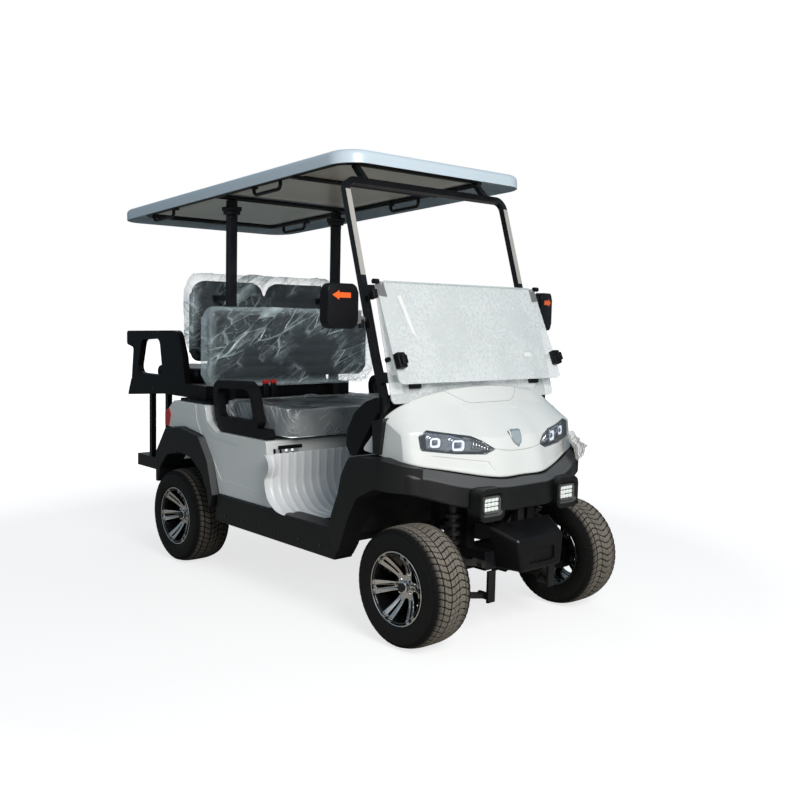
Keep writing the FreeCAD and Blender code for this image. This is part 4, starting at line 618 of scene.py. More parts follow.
def curveDisc(outlines, thickness, bevel):
    # a flat plate with holes, from closed outlines in its own plane
    data = bpy.data.curves.new("plateOutline", "CURVE")
    data.dimensions = "2D"
    data.fill_mode = "BOTH"
    data.extrude, data.bevel_depth, data.bevel_resolution = thickness / 2, bevel, 1
    for points in outlines:
        spline = data.splines.new("POLY")
        spline.points.add(len(points) - 1)
        for i, (x, y) in enumerate(points):
            spline.points[i].co = (x, y, 0, 1)
        spline.use_cyclic_u = True
    holder = addObject("plateOutline", data)
    bpy.context.view_layer.update()
    mesh = evaluatedMesh(holder)
    bpy.data.objects.remove(holder)
    return mesh


def roundedOutline(corners, radius, steps=5):
    # rounds a closed polygon's corners with short arcs
    out = []
    for i, corner in enumerate(corners):
        corner = Vector(corner)
        back = Vector(corners[i - 1]) - corner
        ahead = Vector(corners[(i + 1) % len(corners)]) - corner
        reach = min(radius, back.length * 0.45, ahead.length * 0.45)
        p0, p2 = corner + back.normalized() * reach, corner + ahead.normalized() * reach
        for k in range(steps + 1):
            t = k / steps
            out.append(tuple(p0 * (1 - t) ** 2 + corner * 2 * t * (1 - t) + p2 * t * t))
    return out


def spokeOutlines():
    # the plate's edge, then a window between each two spokes and a slot in each spoke
    look = rimLook
    plate = look["plate"]
    outlines = [[(plate * math.cos(a), plate * math.sin(a)) for a in circle(look["sides"])]]
    for middle in circle(look["spokes"], 0.5):
        for corners, radius, angle in ((look["window"], 0.007, middle),
                                       (look["slot"], 0.005, middle + math.pi / look["spokes"])):
            c, s = math.cos(angle), math.sin(angle)
            outlines.append([(x * c - y * s, x * s + y * c) for x, y in roundedOutline(corners, radius)])
    return outlines


spokeMesh = curveDisc(spokeOutlines(), 0.014, 0.0015)


def buildRim(name, wheel, centre, side):
    look = rimLook
    bm = bmesh.new()
    bm.from_mesh(spokeMesh)
    bmesh.ops.triangulate(bm, faces=bm.faces[:])
    for _ in range(2):
        longEdges = [e for e in bm.edges if e.calc_length() > look["finest"]]
        bmesh.ops.subdivide_edges(bm, edges=longEdges, cuts=1)
        bmesh.ops.triangulate(bm, faces=bm.faces[:])
    bmesh.ops.remove_doubles(bm, verts=bm.verts, dist=0.00005)
    for v in bm.verts:
        reach = math.hypot(v.co.x, v.co.y)
        v.co.z += look["dish"] * max(0.0, (reach - 0.05) / 0.09) ** 1.4 - 0.004
    bm.normal_update()
    for f in bm.faces:
        middle = f.calc_center_median()
        f.material_index = 1 if f.normal.z > 0.55 and math.hypot(middle.x, middle.y) < 0.1375 else 0
    sides, turned = look["sides"], look["turned"]
    rings = [[bm.verts.new((r * math.cos(a), r * math.sin(a), w - look["faceAcross"])) for a in circle(sides)]
             for w, r, _ in turned]
    for i in range(len(turned)):
        j = (i + 1) % len(turned)
        for k in range(sides):
            f = bm.faces.new((rings[i][k], rings[j][k], rings[j][(k + 1) % sides], rings[i][(k + 1) % sides]))
            f.material_index = 1 if turned[i][2] and turned[j][2] else 0
    # pairs of bright tabs run in from the lip beside each spoke slot
    for angle in circle(look["spokes"]):
        for way in (-1, 1):
            addBox(bm, *look["tab"], 0.001, 1, 1, Matrix.Rotation(angle + way * look["tabTurn"], 4, "Z"))
    for low, high, radius, around, material, endRadius in look["rods"]:
        addRod(bm, (0, 0, low), (0, 0, high), radius, around, material, endRadius)
    quarter = Matrix.Rotation(-side * math.pi / 2, 4, "X")
    start = Matrix.Rotation(math.radians(look["start"]), 4, "Z")
    place = Matrix.Translation(centre) @ quarter @ Matrix.Translation((0, 0, look["faceAcross"])) @ start
    bmesh.ops.transform(bm, matrix=place, verts=bm.verts)
    fromBmesh(name, bm, ("rim_metal", "machined", "chrome"), wheel,
              replacing=("rim_" + wheel[6:],), slot="rim_metal", sharp=30)


wheels = {"front_left": (frontX, 0.5), "front_right": (frontX, -0.5),
          "rear_left": (rearX, 0.528), "rear_right": (rearX, -0.528)}
studLook = {"circle": 0.0365, "out": 0.040, "count": 4,
            "form": {"Radius": 0.0078, "Height": 0.013, "Sides": 6, "Flange": 1.25}}
for wheelName, (x, y) in wheels.items():
    side = 1 if y > 0 else -1
    buildTyre("treadedTyre_" + wheelName, "wheel_" + wheelName, (x, y, axleZ), side)
    buildRim("alloyRim_" + wheelName, "wheel_" + wheelName, (x, y, axleZ), side)
    reach, out = studLook["circle"], side * studLook["out"]
    studs = [(x + reach * math.cos(a), y + out, axleZ + reach * math.sin(a)) for a in circle(studLook["count"], 0.5)]
    grow("wheelStuds_" + wheelName, fastenerTree, "wheel_" + wheelName, studs, [], "chrome",
         studLook["form"], [(0, side, 0)] * studLook["count"])
print("wheels built")


# Padded seats: plump blocks with a simulated skin, then sewn channels
# a block is its extent along two axes and the radii of its four corners
seatPads = {
    "frontCushion": {"node": "front_seat_cushion", "body": "seat_lid", "flat": 2, "low": 0.772, "high": 0.904,
                     "rim": 0.042, "cap": 0.008, "blocks": [(-0.300, 0.280, -0.495, 0.495, (0.05,) * 4)],
                     "voxel": 0.011, "across": 1, "channels": (-0.31, -0.015, 0.28)},
    "frontBack": {"node": "front_backrest", "body": "chassis", "flat": 0, "low": -0.4495, "high": -0.374,
                  "rim": 0.034, "cap": 0.006, "blocks": [(-0.535, 0.535, 1.015, 1.386, (0.045, 0.045, 0.06, 0.06))],
                  "voxel": 0.010, "across": 2, "channels": (1.080, 1.138, 1.196, 1.254, 1.312)},
    "rearBack": {"node": "rear_backrest", "body": "chassis", "flat": 0, "low": -0.730, "high": -0.658,
                 "rim": 0.033, "cap": 0.006, "blocks": [(-0.481, -0.010, 1.090, 1.550, (0.045, 0.045, 0.080, 0.080)),
                                                        (0.010, 0.481, 1.090, 1.550, (0.045, 0.045, 0.080, 0.080))],
                 "voxel": 0.010, "across": 2, "channels": (1.20, 1.44)},
    "rearCushion": {"node": "rear_seat_cushion", "body": "rear_seat", "flat": 2, "low": 0.9705, "high": 1.048,
                    "rim": 0.030, "cap": 0.005, "blocks": [(-1.220, -0.750, -0.434, 0.434, (0.05,) * 4)],
                    "voxel": 0.010, "across": 1, "channels": (-0.14, 0.14)},
}
# the seam itself and its pull-in, each as (depth, width)
sewnLook = {"skin": 0.035, "dips": ((0.0065, 0.006), (0.0035, 0.024)), "clear": 0.018, "fade": 0.035}


def planeAxes(flat):
    return (1, 2) if flat == 0 else (0, 1)


def padBlock(bm, look, block):
    # one rounded slab: its outline by corner radii, its rims bevelled round
    u0, u1, v0, v1, radii = block
    a, b = planeAxes(look["flat"])
    corners = ((u0, v0, 1, 1), (u1, v0, -1, 1), (u1, v1, -1, -1), (u0, v1, 1, -1))
    points = []
    for (u, v, wayU, wayV), radius, quarter in zip(corners, radii, (2, 3, 0, 1)):
        for k in range(7):
            angle = math.pi / 2 * quarter + math.pi / 2 * k / 6
            points.append((u + wayU * radius + radius * math.cos(angle), v + wayV * radius + radius * math.sin(angle)))
    rings = []
    for level in (look["low"], look["high"]):
        ring = []
        for u, v in points:
            place = [0, 0, 0]
            place[look["flat"]], place[a], place[b] = level, u, v
            ring.append(bm.verts.new(place))
        rings.append(ring)
    faces = [bm.faces.new(ring) for ring in rings]
    bridgeRings(bm, *rings)
    edges = list({e for f in faces for e in f.edges})
    bmesh.ops.bevel(bm, geom=edges, offset=look["rim"], segments=6, affect="EDGES", profile=0.5)


def applyModifiers(piece):
    mesh = evaluatedMesh(piece)
    piece.modifiers.clear()
    piece.data = mesh
    return mesh


def padForm(name, look, blocks):
    # rounded slabs under one even skin
    bm = bmesh.new()
    for block in blocks:
        padBlock(bm, look, block)
    piece = addObject(name, meshOf(name, bm))
    remesh = piece.modifiers.new("evenSkin", "REMESH")
    remesh.mode, remesh.voxel_size = "VOXEL", look["voxel"]
    applyModifiers(piece)
    return piece


def inflatePad(piece, cap):
    # blows the skin up a little and keeps every point close to where it was
    scene = bpy.context.scene
    start = [v.co.copy() for v in piece.data.vertices]
    cloth = piece.modifiers.new("vinylSkin", "CLOTH")
    cloth.settings.use_pressure = True
    cloth.settings.uniform_pressure_force = 4
    cloth.settings.effector_weights.gravity = 0
    cloth.settings.quality = 4
    for f in range(1, 17):
        scene.frame_set(f)
    mesh = applyModifiers(piece)
    for v, home in zip(mesh.vertices, start):
        step = v.co - home
        if step.length > cap:
            v.co = home + step.normalized() * cap
    scene.frame_set(1)


def sewChannels(piece, look):
    # grooves where the cover is sewn down, each with a soft pull-in beside it
    flat, along = look["flat"], look["across"]
    other = 3 - flat - along
    first = 0 if other == planeAxes(flat)[0] else 2
    spans = [block[first:first + 2] for block in look["blocks"]]
    for v in piece.data.vertices:
        near = max(0.0, 1 - abs(v.co[flat] - look["high"]) / sewnLook["skin"])
        if near <= 0:
            continue
        depth = 0.0
        for place in look["channels"]:
            gap = abs(v.co[along] - place)
            dip = sum(deep * math.exp(-(gap / wide) ** 2) for deep, wide in sewnLook["dips"])
            depth = max(depth, dip)
        edge = max(min(v.co[other] - low, high - v.co[other]) for low, high in spans)
        v.co[flat] -= depth * near * min(1.0, max(0.0, (edge - sewnLook["clear"]) / sewnLook["fade"]))


for padName, look in seatPads.items():
    pad = padForm(padName, look, look["blocks"])
    inflatePad(pad, look["cap"])
    sewChannels(pad, look)
    pad.data.materials.clear()
    pad.data.materials.append(finishes["seat_vinyl"])
    pad.data.shade_smooth()
    finer = pad.modifiers.new("finerSkin", "SUBSURF")
    finer.levels = finer.render_levels = 1
    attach(pad, look["body"])
    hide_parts(look["node"])
print("pads sewn")


# Clear film bags drawn over the seats
filmLook = {"roughness": 0.16, "specular": 0.8, "voxel": 0.007, "rim": 0.034, "relief": 0.006, "border": 0.05,
            "settle": 0.03, "wander": 2.6, "bend": 0.07, "cells": ((1.0, 1.0), (2.7, 0.6)), "patches": 4.5, "gate": (0.43, 0.66)}


def buildFoldHighlightGroup():
    # creases drawn out along one direction, in bundles, with milky patches between; the white lines are partly creases
    # and partly painted highlights, the patches partly milk and partly painted reflection
    tree, given, result = newTree("ShaderNodeTree", "foldedFilmHighlights", (
        ("Along", "Vector", (0, 0.8, 0.6)), ("Across", "Vector", (0, -0.6, 0.8)), ("Length", "Float", 4.5),
        ("Width", "Float", 19.0), ("Sharpness", "Float", 0.055)), (("CreaseAndHighlight", "Float"), ("MilkAndReflection", "Float")))
    place = objectPlace(tree)
    wander = noiseAt(tree, place, filmLook["wander"]).outputs["Color"]
    bent = addNode(tree, "ShaderNodeVectorMath", {0: wander, 1: (filmLook["bend"],) * 3, 2: place},
                   operation="MULTIPLY_ADD").outputs[0]
    drawn = addNode(tree, "ShaderNodeCombineXYZ")
    for axis, way, amount in (("X", "Along", "Length"), ("Y", "Across", "Width")):
        reach = addNode(tree, "ShaderNodeVectorMath", {0: bent, 1: given[way]}, operation="DOT_PRODUCT")
        feed(drawn.inputs[axis], calc(tree, "MULTIPLY", reach.outputs["Value"], given[amount]))
    # straight creases that meet at corners: the edges of long cells, in two sizes, drawn white as painted highlights
    creaseLinesAndHighlights, facetMilkAndReflection = [], []
    for channel, (size, weight) in enumerate(filmLook["cells"]):
        cell = {"Vector": drawn.outputs[0], "Scale": size}
        edge = addNode(tree, "ShaderNodeTexVoronoi", cell, feature="DISTANCE_TO_EDGE").outputs["Distance"]
        creaseLinesAndHighlights.append(calc(tree, "MULTIPLY", ramp(tree, edge, (0.0, given["Sharpness"]), (1.0, 0.0)), weight))
        tone = addNode(tree, "ShaderNodeTexVoronoi", cell).outputs["Color"]
        facetMilkAndReflection.append(addNode(tree, "ShaderNodeSeparateColor", {0: tone}).outputs[channel])
    gate = ramp(tree, noiseAt(tree, place, filmLook["patches"], 3.0).outputs["Fac"], filmLook["gate"])
    feed(result["CreaseAndHighlight"], calc(tree, "MULTIPLY", calc(tree, "MAXIMUM", *creaseLinesAndHighlights), gate))
    # each facet between the creases has its own milkiness, partly the film's own and partly painted reflection
    feed(result["MilkAndReflection"], calc(tree, "MULTIPLY", calc(tree, "MULTIPLY", *facetMilkAndReflection), gate))
    return tree


foldHighlightGroup = buildFoldHighlightGroup()


def makeFilm(name, tint, along, across, thin, veilAndReflection, fold):
    # clear between the creases, milky where it bunches up, white along the creases; the white creases are painted
    # highlights over the creases' relief, and fold sets their weight
    material = bpy.data.materials.new(name)
    material.use_nodes = True
    tree = material.node_tree
    folds = addNode(tree, "ShaderNodeGroup", {"Along": along, "Across": across}, node_tree=foldHighlightGroup).outputs
    gather = addNode(tree, "ShaderNodeAttribute", attribute_name="gather").outputs["Fac"]
    milky = calc(tree, "MULTIPLY_ADD", calc(tree, "MAXIMUM", folds["MilkAndReflection"], gather), veilAndReflection, thin)
    bump = addNode(tree, "ShaderNodeBump", {"Strength": 1.0, "Distance": filmLook["relief"], "Height": folds["CreaseAndHighlight"]})
    setInputs(shaderOf(material), {
        "Base Color": (*tint, 1), "Roughness": filmLook["roughness"], "Specular IOR Level": filmLook["specular"],
        "Normal": bump.outputs["Normal"],
        "Alpha": calc(tree, "MULTIPLY_ADD", folds["CreaseAndHighlight"], fold, milky, clamp=True)})
    material.surface_render_method = "BLENDED"
    return material


# each film: name, tint, the folds' two ways, clear share, weight of the milk and painted reflection, and weight of the
# creases' painted highlights
for key, values in {
    "wrap_film": ("wrapFilm", (0.70, 0.84, 0.89), (0, 0.82, 0.57), (0.3, -0.57, 0.82), 0.06, 0.52, 0.80),
    "scrap_film": ("scrapFilm", (0.50, 0.49, 0.48), (0, 0.6, 0.8), (0.3, -0.8, 0.6), 0.42, 0.55, 0.95),
    "cushion_film": ("cushionFilm", (0.80, 0.84, 0.86), (0.5, 0.8, 0.1), (0.8, -0.5, 0.6), 0.07, 0.50, 0.9),
}.items():
    finishes[key] = makeFilm(*values)

# each bag: the pad it covers, how far it stands off, and the slant of its folds
filmBags = {
    "frontBackBag": {"pad": "frontBack", "body": "chassis", "film": "wrap_film", "box": (-0.566, 0.565, 0.972, 1.404),
                     "level": (-0.4495, -0.350), "corner": 0.06, "slant": (0.2, 0.75, -1.0), "crumple": 0.017,
                     "seed": 1, "still": (0, -0.435), "mouth": 0.981, "cut": (2.50, 0.50)},
    "rearBackBag": {"pad": "rearBack", "body": "chassis", "film": "wrap_film", "box": (-0.503, 0.512, 1.135, 1.588),
                    "level": (-0.748, -0.640), "corner": 0.09, "slant": (0.2, 0.6, 1.0), "crumple": 0.016,
                    "seed": 2, "still": None, "mouth": 1.144, "cut": (2.26, 0.54)},
    "frontCushionBag": {"pad": "frontCushion", "body": "seat_lid", "film": "cushion_film",
                        "box": (-0.306, 0.300, -0.503, 0.503), "level": (0.7685, 0.914), "corner": 0.05,
                        "slant": (0.8, 0.6, 0.3), "crumple": 0.013,
                        "seed": 3, "still": (2, 0.785), "mouth": 0.776, "cut": (0.90, 1.30)},
}


def openMouth(mesh, level):
    # the bag is pulled on from above, so its underside is open
    bm = bmesh.new()
    bm.from_mesh(mesh)
    below = [f for f in bm.faces if f.normal.z < -0.5 and f.calc_center_median().z < level]
    bmesh.ops.delete(bm, geom=below, context="FACES")
    bm.to_mesh(mesh)
    bm.free()
    mesh.update()


def buildFilm(name, look):
    pad = seatPads[look["pad"]]
    u0, u1, v0, v1 = look["box"]
    shape = {"flat": pad["flat"], "low": look["level"][0], "high": look["level"][1],
             "rim": filmLook["rim"], "voxel": filmLook["voxel"]}
    piece = padForm(name, shape, [(*look["box"], (look["corner"],) * 4)])
    mesh = piece.data
    openMouth(mesh, look["mouth"])
    normals = [v.normal.copy() for v in mesh.vertices]
    shift = Vector((look["seed"] * 7.1, look["seed"] * 3.3, look["seed"] * 5.7))
    slant = Vector(look["slant"])
    a, b = planeAxes(pad["flat"])
    gather = []
    for v, normal in zip(mesh.vertices, normals):
        p = v.co.copy()
        line = p.dot(slant) * 15 + noise.noise(p * 5 + shift) * 3.2
        ridge = (1 - abs(math.sin(line))) ** 3
        lump = noise.noise(Vector((p.x * 9, p.y * 6, p.z * 9)) + shift)
        small = noise.noise(Vector((p.x * 30, p.y * 17, p.z * 30)) + shift)
        push = 0.60 * ridge * max(0.0, 0.5 + lump) + 0.32 * lump + 0.22 * small - 0.10
        if look["still"]:
            axis, level = look["still"]
            push *= min(1.0, max(0.0, (p[axis] - level) / filmLook["settle"]))
        v.co = p + normal * look["crumple"] * push
        border = min(p[a] - u0, u1 - p[a], p[b] - v0, v1 - p[b])
        gather.append(max(0.0, 1 - border / filmLook["border"]) * (0.55 + 0.45 * lump))
    addMeasure(mesh, "gather", gather)
    mesh.materials.clear()
    mesh.materials.append(finishes[look["film"]])
    mesh.shade_smooth()
    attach(piece, look["body"])


# a torn scrap of the wrapping still hangs from the far headlamp
scrapLook = {"corner": (1.272, 0.335, 0.842), "across": (-0.080, 0.185, 0.010), "down": (0.030, 0.062, -0.128),
             "steps": (18, 24), "crumple": 0.012, "out": (0.75, 0.60, 0.20), "lift": 0.007, "search": 0.3}


def buildScrap():
    look = scrapLook
    corner, across, down = (Vector(look[k]) for k in ("corner", "across", "down"))
    ahead = Vector(look["out"]).normalized()
    wide, tall = look["steps"]
    verts = []
    for j in range(tall + 1):
        for i in range(wide + 1):
            u, v = i / wide, j / tall
            home = corner + across * (u * (0.55 + 0.6 * v)) + down * (v * (1 - 0.25 * u * u))
            # it lies on the lamp and the bonnet where they are in its way
            for node in ("front_cowl", "front_lamps"):
                start = home + ahead * look["search"]
                hit, place = nodes[node].ray_cast(start, -ahead, distance=look["search"])[:2]
                home = place if hit else home
            fold = 1 + math.sin(u * 9 + 4 * v) * 0.45 + noise.noise(home * 38) * 0.9
            verts.append(home + ahead * (look["lift"] + look["crumple"] * max(0.0, fold)))
    piece = fromFaces("lampFilmScrap", verts, list(gridFaces(tall, wide)), ("scrap_film",), "chassis", sharp=60)
    addMeasure(piece.data, "gather", [0.55 + 0.35 * noise.noise(v.co * 60) for v in piece.data.vertices])


buildScrap()
for bagName, look in filmBags.items():
    buildFilm(bagName, look)
print("film drawn over the seats")


# Finishes of the small parts
addFinishes({
    "lamp_dark": ("lampDark", (0.46, 0.51, 0.57), 0.2, (400, 0.2, 0.0), {"metal": 0.7, "coat": 0.5}),
    "lamp_lens": ("lampLens", (0.09, 0.11, 0.15), 0.08, (400, 0.2, 0.0), {"coat": 1.0}),
    "lamp_glow": ("lampGlow", (0.86, 0.90, 1.0), 0.3, (400, 0.2, 0.0)),
    "hinge_grey": ("hingeGrey", (0.10, 0.10, 0.105), 0.3, (500, 0.2, 0.0)),
    "fog_glow": ("fogGlow", (0.78, 0.83, 0.81), 0.15, (160, 0.4, 0.0006), {"coat": 0.6}),
    "badge_rim": ("badgeRim", (0.30, 0.34, 0.36), 0.3, (300, 0.3, 0.0003), {"metal": 0.3, "coat": 0.6}),
    "badge_field": ("badgeField", (0.52, 0.60, 0.63), 0.2, (140, 0.6, 0.0006), {"metal": 0.4, "coat": 0.8}),
    "arrow_amber": ("arrowAmber", (0.92, 0.14, 0.02), 0.35, (400, 0.2, 0.0)),
    "arm_grey": ("armGrey", (0.16, 0.16, 0.165), 0.45, (700, 0.2, 0.0001)),
    "hinge_plate": ("hingePlate", (0.20, 0.20, 0.21), 0.3, (500, 0.2, 0.0)),
    "tape_white": ("tapeWhite", (0.80, 0.81, 0.80), 0.5, (500, 0.2, 0.0)),
    # a painted highlight along the windscreen's fold
    "edge_clear": ("edgeClear", (0.62, 0.70, 0.72), 0.12, (400, 0.2, 0.0), {"coat": 0.8}),
    "strip_grey": ("stripGrey", (0.42, 0.41, 0.39), 0.5, (240, 0.5, 0.0003), {"dust": 0.3}),
    "mat_clear": ("matClear", (0.88, 0.90, 0.92), 0.3, (300, 0.3, 0.0001)),
    "buckle_red": ("buckleRed", (0.62, 0.02, 0.02), 0.4, (500, 0.2, 0.0)),
    "seam_grey": ("seamGrey", (0.30, 0.31, 0.31), 0.6, (500, 0.2, 0.0)),
    "liner_warm": ("linerWarm", (0.82, 0.75, 0.66), 0.3, (30, 0.5, 0.0006), {"coat": 0.3, "dust": 0.2}),
    "liner_pale": ("linerPale", (0.84, 0.85, 0.80), 0.35, (30, 0.5, 0.0004), {"coat": 0.2, "dust": 0.1}),
})
makeGlow("lamp_glow", (0.80, 0.87, 1.0), 0.55)
makeGlow("fog_glow", (0.85, 0.92, 0.88), 0.12)
for key, alpha in (("lamp_white", 0.20), ("hinge_plate", 0.85), ("edge_clear", 0.7), ("mat_clear", 0.86)):
    makeSee(key, alpha)

# Headlamps: halo rings over a dark mirror, behind the clear cover
lampLook = {"inner": (1.300, 0.146), "outer": (1.185, 0.487), "depth": 0.030, "lip": (0.004, 0.010), "ringDepth": 0.022,
            "rings": ((0.411, 0.849, 0.046, 0.040), (0.308, 0.834, 0.056, 0.044)), "lens": 0.014,
            "outline": ((0.152, 0.814), (0.202, 0.843), (0.258, 0.864), (0.362, 0.880), (0.448, 0.893), (0.482, 0.880),
                        (0.478, 0.828), (0.344, 0.810), (0.200, 0.802)),
            # halo and bezel of each ring: how much wider it is, then its corner, width, depth and finish
            "frames": ((0.0, 0.013, 0.008, 0.009, 1), (0.012, 0.018, 0.005, 0.011, 2)),
            # the dark shade at the outer end, and a fluted step near the nose: count, first y, pitch and width,
            # then each end's height, rise per flute and depth
            "shade": ((0.462, 0.890), (0.482, 0.880), (0.478, 0.828), (0.456, 0.822)), "shadeDepth": 0.006,
            "flutes": (6, 0.170, 0.013, 0.008), "fluteEnds": ((0.806, 0.0013, 0.022), (0.818, 0.0055, 0.012))}


def lampPoint(y, z, depth, sign):
    (x0, y0), (x1, y1) = lampLook["inner"], lampLook["outer"]
    return Vector((x0 + (x1 - x0) * (y - y0) / (y1 - y0) - depth, sign * y, z))


def addFrame(bm, centre, right, up, wide, tall, corner, width, depth, material):
    # a flat rounded-square ring, its outer and inner walls standing forward
    ahead = right.cross(up).normalized()
    loops = []
    for more, lift in ((0, 0), (0, depth), (-width, depth), (-width, 0)):
        ring = []
        radius = max(corner + more, 0.001)
        for a, b, start in ((1, 1, 0), (-1, 1, 1), (-1, -1, 2), (1, -1, 3)):
            for k in range(5):
                angle = math.pi / 2 * (start + k / 4)
                x = a * (wide / 2 + more - radius) + radius * math.cos(angle)
                y = b * (tall / 2 + more - radius) + radius * math.sin(angle)
                ring.append(bm.verts.new(centre + right * x + up * y + ahead * lift))
        loops.append(ring)
    for i in range(4):
        bridgeRings(bm, loops[i], loops[(i + 1) % 4], material)


def buildHeadlamps():
    look = lampLook
    bm = bmesh.new()
    outline, back = look["outline"], look["depth"]
    front, fall = look["lip"]
    count, first, pitch, broad = look["flutes"]
    for sign in (-1, 1):
        addFace(bm, [lampPoint(y, z, back, sign) for y, z in outline])
        for (y0, z0), (y1, z1) in zip(outline[:5], outline[1:6]):
            addFace(bm, [lampPoint(y0, z0, front, sign), lampPoint(y1, z1, front, sign),
                         lampPoint(y1, z1 - fall, back, sign), lampPoint(y0, z0 - fall, back, sign)], 2)
        addFace(bm, [lampPoint(y, z, look["shadeDepth"], sign) for y, z in look["shade"]], 4)
        for k in range(count):
            ends = list(zip(*(lampPoint(first + pitch * k + across, z + rise * k, depth, sign)
                              for across, (z, rise, depth) in zip((0, broad), look["fluteEnds"]))))
            addBox(bm, [min(pair) for pair in ends], [max(pair) for pair in ends], 0.002, 1, 2)
        slope = (lampPoint(0.4, 0.8, 0, sign) - lampPoint(0.2, 0.8, 0, sign)).normalized() * sign
        for y, z, wide, tall in look["rings"]:
            centre = lampPoint(y, z, look["ringDepth"], sign)
            for more, *form in look["frames"]:
                addFrame(bm, centre, slope, upright, wide + more, tall + more, *form)
            lens = bmesh.ops.create_uvsphere(bm, u_segments=24, v_segments=12, radius=look["lens"])["verts"]
            bmesh.ops.translate(bm, vec=centre, verts=lens)
            for face in facesOf(lens):
                face.material_index = 3
    kinds = ("lamp_dark", "lamp_glow", "chrome", "lamp_lens", "black_trim")
    fromBmesh("headlampInsides", bm, kinds, "chassis", sharp=40)


# Fog lamps: rows of bright cells inside a dark lip
fogLook = {"y": 0.250, "z": 0.597, "face": 1.3725, "wide": 0.105, "tall": 0.072, "rows": 3, "columns": 4,
           "inY": 0.008, "inZ": 0.007, "cell": (0.45, 0.43), "bevel": 0.004,
           # places ahead of the face of the lip's foot and the cells' two ends, then the lip's corner, width and depth
           "cellX": (-0.002, -0.004, 0.005), "lip": (0.018, 0.007, 0.010)}


def buildFogCells():
    look = fogLook
    bm = bmesh.new()
    wide, tall = look["wide"], look["tall"]
    stepY, stepZ = (wide - 2 * look["inY"]) / look["columns"], (tall - 2 * look["inZ"]) / look["rows"]
    halfY, halfZ = stepY * look["cell"][0], stepZ * look["cell"][1]
    back, low, high = (look["face"] + step for step in look["cellX"])
    for sign in (-1, 1):
        centre = Vector((back, sign * look["y"], look["z"]))
        addFrame(bm, centre, Vector((0, 1, 0)), upright, wide, tall, *look["lip"], 1)
        for i in range(look["columns"]):
            for j in range(look["rows"]):
                y = sign * look["y"] - wide / 2 + look["inY"] + stepY * (i + 0.5)
                z = look["z"] - tall / 2 + look["inZ"] + stepZ * (j + 0.5)
                addBox(bm, (low, y - halfY, z - halfZ), (high, y + halfY, z + halfZ), look["bevel"])
    fromBmesh("fogCells", bm, ("fog_glow", "hinge_grey"), "chassis", sharp=40)


# Badge: a bare shield with a raised rim
badgeLook = {"centre": (1.2835, 0.0, 0.853), "ahead": (0.915, 0.0, 0.404), "back": -0.010, "edge": (0.93, 0.002),
             "layers": ((1.14, 0.004), (0.90, 0.0055)),
             "shield": ((-0.031, 0.030), (-0.013, 0.036), (0.0, 0.032), (0.013, 0.036), (0.031, 0.030), (0.031, 0.002),
                        (0.021, -0.021), (0.0, -0.038), (-0.021, -0.021), (-0.031, 0.002))}


def buildBadge():
    look = badgeLook
    bm = bmesh.new()
    ahead, right = Vector(look["ahead"]).normalized(), Vector((0, 1, 0))
    up = ahead.cross(right).normalized()
    up = up if up.z > 0 else -up
    inset, step = look["edge"]
    for material, (size, lift) in enumerate(look["layers"]):
        rings = [[bm.verts.new(Vector(look["centre"]) + right * (x * share) + up * (y * share) + ahead * rise)
                  for x, y in look["shield"]]
                 for share, rise in ((size, look["back"]), (size, lift - step), (size * inset, lift))]
        for pair in zip(rings, rings[1:]):
            bridgeRings(bm, *pair, material)
        bm.faces.new(rings[-1]).material_index = material
    fromBmesh("bonnetBadge", bm, ("badge_rim", "badge_field"), "chassis", sharp=30)


buildHeadlamps()
buildFogCells()
buildBadge()
print("lamps and badge placed")


# Mirrors: soft-edged shells with an amber turn arrow, the far one folded in a little
mirrorLook = {"x": 0.840, "deep": 0.052, "y": 0.672, "wide": 0.165, "z": 1.410, "tall": 0.190, "corner": 0.034,
              "rim": 0.007, "glass": (0.068, 0.080), "farTurn": math.radians(17), "farSize": (0.86, 0.84),
              # the arrow's tip, tail and middle height, then its outline back from the tip
              "arrow": (0.058, 0.040, 0.046), "arrowHead": ((0, 0), (0.036, 0.020), (0.036, 0.011)),
              # boxed arm and its joint to the pillar: y from and to, z from and to, x from and to
              "arm": ((0.532, 0.605, 1.345, 1.368, 0.853, 0.873), (0.562, 0.594, 1.336, 1.392, 0.846, 0.882)),
              "pin": (0.864, 0.548, 1.356, 1.318, 0.012)}


